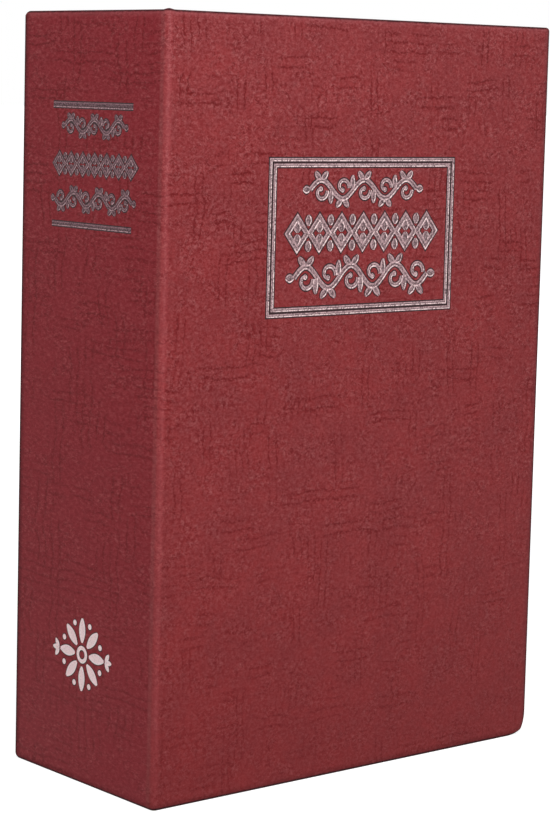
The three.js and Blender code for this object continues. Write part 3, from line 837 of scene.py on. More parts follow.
@dataclass
class Covering:
    """The leatherette sheet over front board, crease, spine and back board, with its turn-ins.

    The sheet is flat in two coordinates. U runs from the front board's fore-edge round the spine to the back
    board's fore-edge, W is the height. A depth moves a point in from the outer face. The highlights and shades are
    the most that painted highlight lightens and painted shade darkens an edge or a crease, 0 to 1.
    """

    plan: BookPlan
    edge: float = 0.75 * MM
    sink: float = 0.07 * MM
    step: float = 3 * MM
    bruise_reach: float = 6.2 * MM
    bruise_in: float = 0.3 * MM
    bruise_round: float = 1.25 * MM
    bruise_step: float = 0.8 * MM
    band: float = 0.55 * MM
    pucker_lift: float = 0.26 * MM
    pucker_reach: float = 1.6 * MM
    dip_depth: float = 0.75 * MM
    dip_reach: float = 2.1 * MM
    spine_draw: float = 0.68
    crease_margin: float = 1.2 * MM
    crease_step: float = 0.4 * MM
    arc_steps: int = 12
    # The next three shares are painted highlight along the head, the other edges and the fore-edge.
    head_highlight: float = 0.55
    side_highlight: float = 0.3
    fore_highlight: float = 0.35
    # The next shares set the painted shade along the foot, the fore-edge and the turn-ins, and where it starts and how
    # fast it darkens over an edge's roll.
    foot_shade: float = 0.38
    fore_shade: float = 0.6
    turned_shade: float = 0.12
    shade_start_at_head: float = 0.18
    shade_run: float = 0.3
    run: float = field(init=False)
    arc: float = field(init=False)
    spine: float = field(init=False)
    total: float = field(init=False)
    split: float = field(init=False)

    def __post_init__(self) -> None:
        """Work out the lengths along the sheet."""
        plan = self.plan
        self.run = plan.right - self.edge - (plan.left + plan.crease)
        self.arc = math.pi / 2 * plan.crease
        self.spine = plan.back - plan.front - 2 * plan.crease
        self.total = 2 * self.run + 2 * self.arc + self.spine
        self.split = self.run + self.arc + self.spine - 1.5 * MM

    def place(self, u: float, w: float, depth: float) -> Vector:
        """Return the point of the closed book at a place on the sheet and a depth in from its face."""
        plan = self.plan
        deep = depth + self.sink
        radius = plan.crease
        w += self.pucker(u, w) + self.dip(u, w)
        keep = max(radius - deep, 0.2 * MM)
        along = u - self.run
        if along <= 0:
            point = Vector((plan.right - self.edge - u, plan.front + deep, w))
        elif along <= self.arc:
            turn = along / radius
            centre = Vector((plan.left + radius, plan.front + radius, w))
            point = centre + keep * Vector((-math.sin(turn), -math.cos(turn), 0))
        elif along <= self.arc + self.spine:
            point = Vector((plan.left + deep, plan.front + radius + along - self.arc, w))
        elif along <= 2 * self.arc + self.spine:
            turn = (along - self.arc - self.spine) / radius
            centre = Vector((plan.left + radius, plan.back - radius, w))
            point = centre + keep * Vector((-math.cos(turn), math.sin(turn), 0))
        else:
            past = along - 2 * self.arc - self.spine
            point = Vector((plan.left + radius + past, plan.back - deep, w))
        return self.bruised(point)

    def drawn(self, u: float) -> float:
        """Return the grain's own U, which runs slower on the spine, where the marks are drawn out across it."""
        across = min(max(u - self.run - self.arc, 0.0), self.spine)
        return u - (1 - self.spine_draw) * across

    def pucker(self, u: float, w: float) -> float:
        """Return how far the turned-in sheet is bunched upwards at the head of the front crease."""
        across = abs(u - self.run - 0.55 * self.arc) / (0.85 * self.arc)
        above = w - (self.plan.height - self.pucker_reach)
        if across >= 1 or above <= 0:
            return 0.0
        return self.pucker_lift * math.cos(math.pi / 2 * across) * min(1.0, above / self.pucker_reach)

    def dip(self, u: float, w: float) -> float:
        """Return how far the sheet is worn in towards the middle at the ends of the rear crease."""
        across = abs(u - self.total + self.run + 0.5 * self.arc) / (0.75 * self.arc)
        height = self.plan.height
        near = min(w, height - w) / self.dip_reach
        if across >= 1 or near >= 1:
            return 0.0
        inward = 1 if w < height / 2 else -1
        return inward * self.dip_depth * math.cos(math.pi / 2 * across) ** 2 * (1 - near)

    def bruised(self, point: Vector) -> Vector:
        """Push in the front cover's lower fore-edge corner, as if the book had been set down on it."""
        plan = self.plan
        if point.y > plan.front + 2 * plan.cover:
            return point
        reach = plan.right - point.x + point.z
        share = max(0.0, 1 - reach / self.bruise_reach) ** 2
        shift = Vector((-self.bruise_round, self.bruise_in, 0.85 * self.bruise_round))
        return point + share * shift

    def stations(self, half: Half) -> tuple[list[float], list[float]]:
        """Return the U and W values of the face grid's lines, closer at corners and creases."""
        fine = [self.plan.corner * share - self.edge * share for share in (0, 0.25, 0.5, 0.75, 1)]
        margin = [*fine, fine[-1] + self.band, fine[-1] + 2 * self.band]

        def even(low: float, high: float, step: float) -> list[float]:
            count = max(1, round((high - low) / step))
            return [low + (high - low) * i / count for i in range(1, count + 1)]

        inner = self.bruise_reach + 1 * MM
        if half is Half.FRONT:
            u = list(margin)
            u += even(u[-1], inner, self.bruise_step) + even(inner, self.run - self.crease_margin, self.step)
            u += even(self.run - self.crease_margin, self.run, self.crease_step)
            u += even(self.run, self.run + self.arc, self.arc / self.arc_steps)
            past = u[-1] + 2 * MM
            u += even(u[-1], past, self.crease_step) + even(past, self.split, self.step)
        else:
            crease_start = self.run + self.arc + self.spine
            crease_end = crease_start + self.arc
            last = [self.total - value for value in reversed(margin)]
            u = [self.split] + even(self.split, crease_start, 0.5 * MM)
            u += even(crease_start, crease_end, self.arc / self.arc_steps)
            u += even(crease_end, last[0], self.step) + last[1:]
        low, high = self.edge, self.plan.height - self.edge
        w = [low + value for value in margin]
        w += even(w[-1], low + inner, self.bruise_step)
        w += even(w[-1], high - margin[-1], self.step) + [high - value for value in reversed(margin[:-1])]
        return u, w

    def rounded(self, u: float, w: float) -> tuple[float, float, float, float, float]:
        """Move a grid point onto the sheet's rounded corner.

        Returns:
            The moved u and w, the outward direction there in u and w, and how far the sheet may turn in.
        """
        plan = self.plan
        low, high = self.edge, plan.height - self.edge
        radius = plan.corner - self.edge
        from_u = min(u, self.total - u)
        from_w = min(w - low, high - w)
        side_u = -1.0 if u < self.total / 2 else 1.0
        side_w = -1.0 if w < plan.height / 2 else 1.0
        reach = plan.turn_in - self.edge
        if from_u < radius - SLIGHT and from_w < radius - SLIGHT or from_u < SLIGHT and from_w < radius:
            p, q = on_disc(1 - from_u / radius, 1 - from_w / radius)
            centre_u = radius if side_u < 0 else self.total - radius
            centre_w = low + radius if side_w < 0 else high - radius
            moved = (centre_u + side_u * radius * p, centre_w + side_w * radius * q)
            length = math.hypot(p, q) or 1.0
            return (*moved, side_u * p / length, side_w * q / length, radius)
        if from_u < SLIGHT:
            return u, w, side_u, 0.0, min(reach, from_w)
        return u, w, 0.0, side_w, min(reach, from_u)

    def edge_profile(self) -> list[tuple[float, float]]:
        """Return the section over a board's edge as outward distance and depth, from face to turn-in."""
        thick = self.plan.cover - 0.1 * MM - self.sink
        arcs = 5
        profile = []
        for i in range(1, arcs + 1):
            turn = math.pi / 2 * i / arcs
            profile.append((self.edge * math.sin(turn), self.edge * (1 - math.cos(turn))))
        profile += [(self.edge, self.edge + 0.25 * MM), (self.edge, thick / 2)]
        for i in range(arcs + 1):
            turn = math.pi / 2 * i / arcs
            profile.append((self.edge * math.cos(turn), thick - self.edge + self.edge * math.sin(turn)))
        reach = self.plan.turn_in - self.edge
        profile += [(-reach * share, thick) for share in (0.12, 0.35, 0.65, 1.0)]
        profile.append((-reach, thick - self.plan.skin))
        return profile

    def build_half(self, half: Half) -> bmesh.types.BMesh:
        """Model one part of the sheet: a face grid laid over the case, its edges carried round the boards."""
        plan = self.plan
        us, ws = self.stations(half)
        shape = bmesh.new()
        sheet = shape.verts.layers.float_vector.new("sheet")
        outward = shape.verts.layers.float_vector.new("outward")
        laid = shape.verts.layers.float_vector.new("laid")
        rub = shape.verts.layers.float.new("rub")
        edge_shade = shape.verts.layers.float.new("edge")
        quiet = shape.verts.layers.float.new("quiet")
        for vert, across, up in spread(shape, len(us) - 1, len(ws) - 1):
            i, j = round(across * (len(us) - 1)), round(up * (len(ws) - 1))
            u, w, out_u, out_w, limit = self.rounded(us[i], ws[j])
            vert[sheet] = (u, w, 1.0 if abs(us[i] - self.split) < SLIGHT else 0.0)
            vert[outward] = (out_u, out_w, limit)
            vert[laid] = (self.drawn(u), w, 0)
            head, foot = plan.height - self.edge - ws[j], ws[j] - self.edge
            fore = min(us[i], self.total - us[i])
            head, foot, fore = (max(0.0, 1 - gap / (2 * self.band)) for gap in (head, foot, fore))
            # Painted highlight on the creases and near the edges, painted shade along the edges and the rear crease.
            vert[rub] = max(self.crease_highlight(u, w), self.head_highlight * head * head, self.fore_highlight * fore)
            vert[edge_shade] = max(self.rear_shade(u), self.foot_shade * foot, self.fore_shade * fore)
            vert[quiet] = self.spine_share(u)
            vert.co = self.place(u, w, 0)
        rim = [edge for edge in shape.edges if edge.is_boundary and not all(v[sheet].z > 0.5 for v in edge.verts)]
        travelled = 0.0
        before = (0.0, 0.0)
        for out, depth in self.edge_profile():
            travelled += math.hypot(out - before[0], depth - before[1])
            before = (out, depth)
            verts, rim = extruded(shape, rim)
            for vert in verts:
                u, w, _ = vert[sheet]
                out_u, out_w, limit = vert[outward]
                shift = max(out, -limit)
                vert.co = self.place(u + out_u * shift, w + out_w * shift, depth)
                vert[laid] = (self.drawn(u) + out_u * travelled, w + out_w * travelled, 0)
                turn = out / self.edge if depth < self.edge else 1.0
                at_head, at_foot = out_w > 0.5, out_w < -0.5
                # Over an edge's roll: painted highlight on its crest, then painted shade as it turns away.
                start = self.shade_start_at_head if at_head else 0.0
                vert[rub] = (self.head_highlight if at_head else self.side_highlight) if depth < 0.1 * self.edge else 0.0
                painted_edge_dark = min(1.0, max(self.foot_shade if at_foot else 0.0, (turn - start) / self.shade_run))
                vert[edge_shade] = painted_edge_dark * (1.0 if depth <= self.edge else self.turned_shade)
                vert[quiet] = self.spine_share(u)
        uv = shape.loops.layers.uv.new("Sheet")
        for face in shape.faces:
            for loop in face.loops:
                loop[uv].uv = loop.vert[laid].xy
        bmesh.ops.remove_doubles(shape, verts=shape.verts, dist=WELD)
        probe = self.place(self.run / 2 if half is Half.FRONT else self.total - self.run / 2, plan.height / 2, 0)
        first = min(shape.faces, key=lambda face: (face.calc_center_median() - probe).length)
        inside = Vector((0, 0, plan.height / 2))
        if first.normal.dot(inside - first.calc_center_median()) > 0:
            bmesh.ops.reverse_faces(shape, faces=shape.faces)
        return shape

    def crease_highlight(self, u: float, w: float) -> float:
        """Return how much painted highlight lightens a crease's crest: more at the head than at the foot."""
        crests = (self.run + 0.38 * self.arc, self.total - self.run - 0.38 * self.arc)
        nearest = min(abs(u - crest) for crest in crests)
        reach = 0.62 * self.arc if crests[0] < u < crests[1] else 0.5 * self.arc
        broad = 0.55 * math.cos(math.pi / 2 * min(1.0, nearest / reach)) ** 1.4
        narrow = 0.7 * max(0.0, 1 - nearest / (0.22 * self.arc))
        fade = min(1.0, 0.2 + w / (22 * MM))
        crest = (broad + narrow) * (0.22 + 0.22 * (w / self.plan.height) ** 2)
        if crests[0] < u < crests[1]:
            crest = max(crest, 0.16 * min(1.0, max(0.0, (1.06 - nearest / self.arc) / 0.1)))
        return fade * crest

    def rear_shade(self, u: float) -> float:
        """Return how dark the painted shade along the rear crease is at a place."""
        start = self.total - self.run - self.arc
        if u < start:
            return 0.7 * max(0.0, 1 - (start - u) / (1.5 * MM))
        return max(0.0, min(1.0, 1 - ((u - start) / self.arc - 0.3) / 0.24))

    def spine_share(self, u: float) -> float:
        """Return 1 on the spine, where painted shade darkens the sheet and its grain is quieter, and 0 on the boards.
        """
        inside = min(u - self.run - 1.32 * self.arc, self.total - self.run - self.arc / 2 - u)
        return min(1.0, max(0.0, inside / (0.4 * MM)))

    def board_core(self) -> bmesh.types.BMesh:
        """Model the greyboard inside the front cover, as thick as the space in its wrapping."""
        plan = self.plan
        gap, radius = plan.skin + 0.35 * MM, plan.corner
        low, high = gap, plan.height - gap
        shape = bmesh.new()
        for vert, across, up in spread(shape, 40, 60):
            u = gap - self.edge + across * (self.run - 2 * MM - gap)
            w = low + up * (high - low)
            from_u, from_w = u - gap + self.edge, min(w - low, high - w)
            if from_u < radius and from_w < radius:
                p, q = on_disc(1 - from_u / radius, 1 - from_w / radius)
                u = gap - self.edge + radius * (1 - p)
                w = low + radius - radius * q if w < plan.height / 2 else high - radius + radius * q
            vert.co = self.place(u, w, plan.skin + 0.05 * MM)
        thick = plan.cover - 2 * plan.skin - 0.3 * MM
        for item in bmesh.ops.extrude_face_region(shape, geom=shape.faces[:])["geom"]:
            if isinstance(item, bmesh.types.BMVert):
                item.co.y += thick
        bmesh.ops.recalc_face_normals(shape, faces=shape.faces)
        return shape

    def build(self, finishes: Finishes) -> None:
        """Make both parts and the bruised front board; hang the board and the back part on their bodies, not the front
        part.
        """
        plan = self.plan
        board = finish_mesh("front_board_core", self.board_core(), finishes.greyboard, 40)
        hang(board, Body.COVER, "greyboard", "front_board")
        front = finish_mesh("leatherette_front", self.build_half(Half.FRONT), finishes.leatherette, 50)
        end = Vector((plan.left + plan.crease + 0.5 * MM, plan.front, 0))
        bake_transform(front)
        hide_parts("front_covering", "crease_strip")
        back = finish_mesh("leatherette_back", self.build_half(Half.BACK), finishes.leatherette, 50)
        hang(back, Body.CASE, "leatherette", "case_covering")


class Side(Enum):
    """The two faces that carry foil."""

    FRONT = "front"
    SPINE = "spine"


@dataclass
class FoilStamp:
    """Foil strokes on one face, each a shallow trough with raised rims inside a border that the foil's material darkens
    with painted shade.
    """

    plan: BookPlan
    side: Side
    border: float = 0.33 * MM
    rim: float = 0.34 * MM
    edge_lift: float = 0.035 * MM
    rim_lift: float = 0.06 * MM
    middle_lift: float = 0.02 * MM
    surface: float = 0.07 * MM
    layers: int = 7
    layer_step: float = 0.0012 * MM
    mitre_limit: float = 0.35
    count: int = 0
    shape: bmesh.types.BMesh = field(default_factory=bmesh.new)

    def __post_init__(self) -> None:
        """Start the UV map that says how far across its stroke a point lies."""
        self.stroke_map = self.shape.loops.layers.uv.new("Stroke")

    def place(self, a: float, b: float, lift: float) -> Vector:
        """Return the point at a level place a and a height b, in metres, lifted off the leatherette."""
        inward = self.surface - lift
        if self.side is Side.FRONT:
            return Vector((a, self.plan.front + inward, b))
        return Vector((self.plan.left + inward, a, b))

    def section(self, half: float) -> list[tuple[float, float, float]]:
        """Return a stroke's section as distance from its middle, lift and UV, from one side to the other."""
        inner = max(half - self.rim, 0.3 * half)
        side = [
            (half + self.border, 0.003 * MM, 0.0),
            (half, self.edge_lift, 0.15),
            ((half + inner) / 2, self.rim_lift, 0.25),
            (inner, (self.rim_lift + self.middle_lift) / 2, 0.36),
        ]
        left = [(-out, lift, v) for out, lift, v in side]
        right = [(out, lift, 1 - v) for out, lift, v in reversed(side)]
        return left + [(0.0, self.middle_lift, 0.5)] + right

    def stroke(self, points: Sequence[Pair], half_widths: Sequence[float], closed: bool = False) -> None:
        """Lay one stroke of foil.

        Args:
            points: places along the stroke's middle.
            half_widths: half of the stroke's width at each place.
            closed: whether the stroke runs back to its first place.
        """
        count = len(points)
        spans = count if closed else count - 1
        bands = len(self.section(1.0)) - 1
        # A fixed light direction: the side of a stroke that faces it gets painted highlight in the foil's material.
        lit = Vector((0.7, -0.7)) if self.side is Side.FRONT else Vector((-0.7, -0.7))
        self.count += 1
        layer = (self.count % self.layers) * self.layer_step
        where = {}
        for vert, along, aside in spread(self.shape, spans, bands):
            i, k = round(along * spans), round(aside * bands)
            here = Vector(points[i % count])
            ahead = Vector(points[(i + 1) % count]) if closed or i < count - 1 else here
            behind = Vector(points[(i - 1) % count]) if closed or i > 0 else here
            first = (here - behind).normalized() if (here - behind).length > SLIGHT else (ahead - here).normalized()
            second = (ahead - here).normalized() if (ahead - here).length > SLIGHT else first
            mean = (first + second).normalized()
            out, lift, v = self.section(half_widths[i % count])[k]
            across = Vector((-mean.y, mean.x))
            spot = here + across * (out / max(self.mitre_limit, mean.dot(first)))
            facing = across.dot(lit) * (0 if abs(out) < SLIGHT else math.copysign(1, out))
            where[vert] = (self.place(spot.x, spot.y, lift + layer), 0.5 + 0.5 * facing, v)
        for face in {face for vert in where for face in vert.link_faces}:
            for loop in face.loops:
                loop[self.stroke_map].uv = where[loop.vert][1:]
        for vert, (spot, _, _) in where.items():
            vert.co = spot

    def rule(self, start: Pair, end: Pair, width: float) -> None:
        """Lay a straight rule."""
        steps = 24
        run = (end[0] - start[0], end[1] - start[1])
        points = [(start[0] + run[0] * i / steps, start[1] + run[1] * i / steps) for i in range(steps + 1)]
        self.stroke(points, [width / 2] * (steps + 1))

    def frame(self, low: Pair, high: Pair, width: float) -> None:
        """Lay a rectangular frame with mitred corners, its outer edge from low to high."""
        half = width / 2
        corners = [
            Vector((low[0] + half, low[1] + half)),
            Vector((high[0] - half, low[1] + half)),
            Vector((high[0] - half, high[1] - half)),
            Vector((low[0] + half, high[1] - half)),
        ]
        points = []
        for i, corner in enumerate(corners):
            for other in (corners[i - 1], corner, corners[(i + 1) % 4]):
                points.append(tuple(corner + (other - corner).normalized() * 1.2 * MM))
        self.stroke(points, [half] * len(points), closed=True)

    def leaf(self, root: Pair, heading: float, length: float, width: float, curl: float = 0.0) -> None:
        """Lay a leaf that grows from its root and curls to one side."""
        steps = 9
        points = [root]
        angle = heading
        for _ in range(steps):
            angle += curl / steps
            points.append(polar(points[-1], length / steps, angle))
        swell = [math.sin(math.pi * min(1.0, (i / steps) * 0.9 + 0.05)) ** 0.8 for i in range(steps + 1)]
        self.stroke(points, [max(0.06 * MM, width / 2 * share) for share in swell])

    def ring(self, centre: Pair, radius: float, width: float, sides: int) -> None:
        """Lay a ring."""
        self.stroke([polar(centre, radius, math.tau * i / sides) for i in range(sides)], [width / 2] * sides, True)

    def dot(self, centre: Pair, radius: float) -> None:
        """Lay a dot, as a ring that closes in its middle."""
        self.ring(centre, radius / 2, radius, 14)

    def curl(self, centre: Pair, radius: float, start: float, turns: float, width: float) -> None:
        """Lay a spiral that winds in from its start angle and ends in a berry."""
        steps = 22
        points = []
        for i in range(steps + 1):
            share = i / steps
            points.append(polar(centre, radius * (1 - 0.62 * share), start + math.tau * turns * share))
        self.stroke(points, [width / 2 * (1 - 0.25 * i / steps) for i in range(steps + 1)])
        self.dot(points[-1], 0.62 * width)

    def scroll(self, middle: Pair, length: float, height: float, waves: int, weight: float) -> None:
        """Lay a vine scroll: a waving stem with a spiral in each bend and leaves at its crossings."""
        low = middle[0] - length / 2
        bend = length / waves
        swing = 0.3 * height
        width = weight * 0.1 * height
        leaf = 0.13 * height * weight

        def stem(share: float) -> Pair:
            return (low + length * share, middle[1] + swing * math.sin(math.pi * waves * share))

        steps = waves * 14
        self.stroke([stem(i / steps) for i in range(steps + 1)], [width / 2] * (steps + 1))
        for i in range(waves):
            up = 1 if i % 2 == 0 else -1
            x = low + bend * (i + 0.5)
            self.curl((x, middle[1] - up * 0.08 * height), 0.27 * height, up * math.pi * 0.05, -up * 0.75, 0.8 * width)
            tip = (x, middle[1] + up * (swing + 0.2 * width))
            self.leaf(tip, up * 0.4, 0.36 * height, leaf, up * 0.7)
            self.leaf(tip, math.pi - up * 0.4, 0.36 * height, leaf, -up * 0.7)
            if i:
                self.leaf(stem(i / waves), up * math.pi / 2 + 0.35 * up, 0.46 * height, leaf, -0.5 * up)
        for end, heading in ((0.0, math.pi), (1.0, 0.0)):
            self.leaf(stem(end), heading, 0.3 * height, 0.16 * height * weight)

    def lozenges(self, middle: Pair, length: float, height: float, count: int, weight: float) -> None:
        """Lay a row of lozenges, each round a four-petalled flower, with darts between them."""
        pitch = length / count
        low, y = middle[0] - length / 2, middle[1]
        line = weight * 0.1 * height
        half_w, half_h = 0.5 * pitch - 0.35 * line, 0.5 * height - 0.5 * line
        for i in range(count):
            x = low + pitch * (i + 0.5)
            corners = [(x - half_w, y), (x, y - half_h), (x + half_w, y), (x, y + half_h)]
            self.stroke(corners, [line / 2] * 4, closed=True)
            for up in (-1, 1):
                self.leaf((x, y + up * 0.02 * height), up * math.pi / 2, 0.27 * height, 0.17 * height * weight)
        for i in range(count - 1):
            x = low + pitch * (i + 1)
            for up in (-1, 1):
                self.leaf((x, y + up * 0.2 * height), up * math.pi / 2, 0.3 * height, 0.15 * height * weight)

    def rosette(self, centre: Pair, radius: float, petals: int) -> None:
        """Lay a rosette: petals round a small ring, dots between their tips, a sprig on each side."""
        self.ring(centre, 0.17 * radius, 0.1 * radius, 18)
        for i in range(petals):
            heading = math.tau * i / petals + math.pi / 2
            self.leaf(polar(centre, 0.3 * radius, heading), heading, 0.62 * radius, 0.26 * radius)
            self.dot(polar(centre, 0.82 * radius, heading + math.pi / petals), 0.07 * radius)
        for side in (-1, 1):
            base = (centre[0] + side * 0.98 * radius, centre[1])
            for heading in (0.0, 0.95, -0.95):
                self.leaf(base, heading if side > 0 else math.pi - heading, 0.26 * radius, 0.13 * radius)

    def finish(self, name: str, material: bpy.types.Material, body: Body) -> None:
        """Turn the strokes into one piece on a body, facing outwards."""
        bmesh.ops.remove_doubles(self.shape, verts=self.shape.verts, dist=CLOSE)
        outward = Vector((0, -1, 0)) if self.side is Side.FRONT else Vector((-1, 0, 0))
        wrong = [face for face in self.shape.faces if face.normal.dot(outward) < 0]
        bmesh.ops.reverse_faces(self.shape, faces=wrong)
        hang(finish_mesh(name, self.shape, material, 60), body, "leatherette")


@dataclass(frozen=True)
class Row:
    """A row of ornament: its middle along the row and its height on the book, its size, repeats and line weight."""

    middle: Pair
    length: float
    height: float
    count: int
    weight: float


@dataclass
class FoilWork:
    """All the foil: the framed panel on the front, the ruled panel and the rosette on the spine.

    Each panel holds a scroll, a row of lozenges and another scroll, from the top down.
    """

    plan: BookPlan
    panel_low: Pair = (-30.05 * MM, 111.05 * MM)
    panel_high: Pair = (28.05 * MM, 147.55 * MM)
    outer_rule: float = 0.68 * MM
    inner_rule: float = 0.74 * MM
    rule_gap: float = 0.58 * MM
    front_rows: tuple[Row, ...] = (
        Row((-1 * MM, 140.3 * MM), 33.5 * MM, 7.3 * MM, 5, 1.5),
        Row((-1 * MM, 130.2 * MM), 47.5 * MM, 8.6 * MM, 7, 1.45),
        Row((-1 * MM, 119.9 * MM), 42 * MM, 8.6 * MM, 6, 1.4),
    )
    spine_rules: tuple[Pair, ...] = ((158.43 * MM, 1.25 * MM), (130.86 * MM, 1.0 * MM))
    spine_middle: float = -0.6 * MM
    spine_half: float = 15.5 * MM
    spine_rows: tuple[Row, ...] = (
        Row((-1.4 * MM, 153.7 * MM), 23 * MM, 4.9 * MM, 5, 1.7),
        Row((-1.7 * MM, 144.9 * MM), 32.4 * MM, 5.2 * MM, 7, 1.6),
        Row((-1.1 * MM, 136.8 * MM), 30 * MM, 5.2 * MM, 6, 1.7),
    )
    rosette_place: Pair = (0.1 * MM, 30.8 * MM)
    rosette_radius: float = 9.4 * MM
    petals: int = 8

    def fill(self, stamp: FoilStamp, rows: tuple[Row, ...]) -> None:
        """Lay the three rows of a panel."""
        for lay, row in zip((stamp.scroll, stamp.lozenges, stamp.scroll), rows):
            lay(row.middle, row.length, row.height, row.count, row.weight)

    def build(self, finishes: Finishes) -> None:
        """Stamp the front and the spine."""
        front = FoilStamp(self.plan, Side.FRONT)
        inset = self.outer_rule + self.rule_gap
        inner_low = (self.panel_low[0] + inset, self.panel_low[1] + inset)
        inner_high = (self.panel_high[0] - inset, self.panel_high[1] - inset)
        front.frame(self.panel_low, self.panel_high, self.outer_rule)
        front.frame(inner_low, inner_high, self.inner_rule)
        self.fill(front, self.front_rows)
        front.finish("front_foil", finishes.silver_foil, Body.COVER)

        spine = FoilStamp(self.plan, Side.SPINE, border=0.28 * MM, rim=0.26 * MM)
        low, high = self.spine_middle - self.spine_half, self.spine_middle + self.spine_half
        for height, width in self.spine_rules:
            spine.rule((low, height), (high, height), width)
        self.fill(spine, self.spine_rows)
        spine.finish("spine_foil", finishes.spine_foil, Body.CASE)

        mark = FoilStamp(self.plan, Side.SPINE, border=0.24 * MM)
        mark.rosette(self.rosette_place, self.rosette_radius, self.petals)
        mark.finish("spine_rosette", finishes.white_foil, Body.CASE)


@dataclass
class PageRing:
    """The moulded ring that looks like the edges of a stack of leaves."""

    plan: BookPlan
    left: float = -57 * MM
    opening: tuple[float, float, float, float] = (-48 * MM, 48 * MM, 12 * MM, 168 * MM)
    opening_radius: float = 2.3 * MM
    leaves: int = 96
    groove: float = 0.2 * MM
    wander: float = 0.14 * MM
    per_side: tuple[int, int, int] = (14, 20, 14)

    def outline(self) -> list[tuple[Vector, Vector]]:
        """Return the ring's outer outline as places and outward directions; the spine side is straight."""
        plan = self.plan
        foot, head, right = plan.page_foot, plan.page_head, plan.page_right
        corners = [(self.left, foot), (right, foot), (right, head), (self.left, head)]
        outward = [Vector((0, 0, -1)), Vector((1, 0, 0)), Vector((0, 0, 1))]
        places = []
        for side, count in enumerate(self.per_side):
            (x0, z0), (x1, z1) = corners[side], corners[side + 1]
            for i in range(count):
                share = i / count
                mixed = outward[side]
                if i == 0 and side > 0:
                    mixed = outward[side - 1] + outward[side]
                places.append((Vector((x0 + (x1 - x0) * share, 0, z0 + (z1 - z0) * share)), mixed))
        places.append((Vector((self.left, 0, head)), outward[2]))
        return places

    def inset(self, place: Vector, station: int) -> float:
        """Return how far the surface lies in from the ring's box at a place and a leaf's edge or gap."""
        leaf = station // 2
        stack = noise.noise(Vector((place.x * 18, place.z * 18, leaf * 0.21)))
        own = noise.noise(Vector((place.x * 9, place.z * 9, leaf * 7.7)))
        depth = self.wander * (0.5 + 0.35 * stack + 0.4 * own)
        if station % 2:
            depth += self.groove * (0.75 + 0.5 * noise.noise(Vector((leaf * 3.3, place.x * 6, place.z * 6))))
        return max(0.0, depth)

    def build_shape(self) -> bmesh.types.BMesh:
        """Model the ring: grooved outer faces, a plain front and back, and the opening for the box."""
        plan = self.plan
        outline = self.outline()
        stations = 2 * self.leaves
        shape = bmesh.new()
        for vert, along, across in spread(shape, len(outline) - 1, stations):
            i, j = round(along * (len(outline) - 1)), round(across * stations)
            place, outward = outline[i]
            y = plan.page_front + (plan.page_back - plan.page_front) * j / stations
            depth = 0.0 if j in (0, stations) else self.inset(place, j)
            spot = place - depth * outward
            vert.co = Vector((max(self.left, spot.x), y, spot.z))
        rims = []
        ends = [vert for vert in shape.verts if vert.is_boundary and abs(vert.co.x - self.left) < CLOSE]
        around = [edge for edge in shape.edges if edge.is_boundary]
        for y in (plan.page_front, plan.page_back):
            rims.append([edge for edge in around if all(abs(vert.co.y - y) < CLOSE for vert in edge.verts)])
            rims[-1].append(shape.edges.new([vert for vert in ends if abs(vert.co.y - y) < CLOSE]))
        spine_edges = [edge for edge in shape.edges if edge.is_boundary or edge.is_wire]
        spine_edges = [edge for edge in spine_edges if all(abs(v.co.x - self.left) < CLOSE for v in edge.verts)]
        bmesh.ops.triangle_fill(shape, edges=spine_edges, use_beauty=True)
        low_x, high_x, low_z, high_z = self.opening
        radius = self.opening_radius
        loop = []
        for corner, (x, z) in enumerate(((low_x, low_z), (high_x, low_z), (high_x, high_z), (low_x, high_z))):
            centre = (x + (radius if corner in (0, 3) else -radius), z + (radius if corner in (0, 1) else -radius))
            for i in range(7):
                loop.append(polar(centre, radius, math.pi * (1 + corner / 2) + math.pi / 12 * i))
        mouths = []
        for y in (plan.page_front, plan.page_back):
            verts = [shape.verts.new(Vector((x, y, z))) for x, z in loop]
            mouths.append([shape.edges.new((verts[i], verts[(i + 1) % len(verts)])) for i in range(len(verts))])
        bmesh.ops.bridge_loops(shape, edges=mouths[0] + mouths[1])
        for side in (0, 1):
            bmesh.ops.triangle_fill(shape, edges=rims[side] + mouths[side], use_beauty=True)
        bmesh.ops.recalc_face_normals(shape, faces=shape.faces)
        return shape

    def build(self, finishes: Finishes) -> None:
        """Make the ring and hang it on the case."""
        ring = finish_mesh("page_ring", self.build_shape(), finishes.pages, 32)
        hang(ring, Body.CASE, "page_plastic", "page_frame")


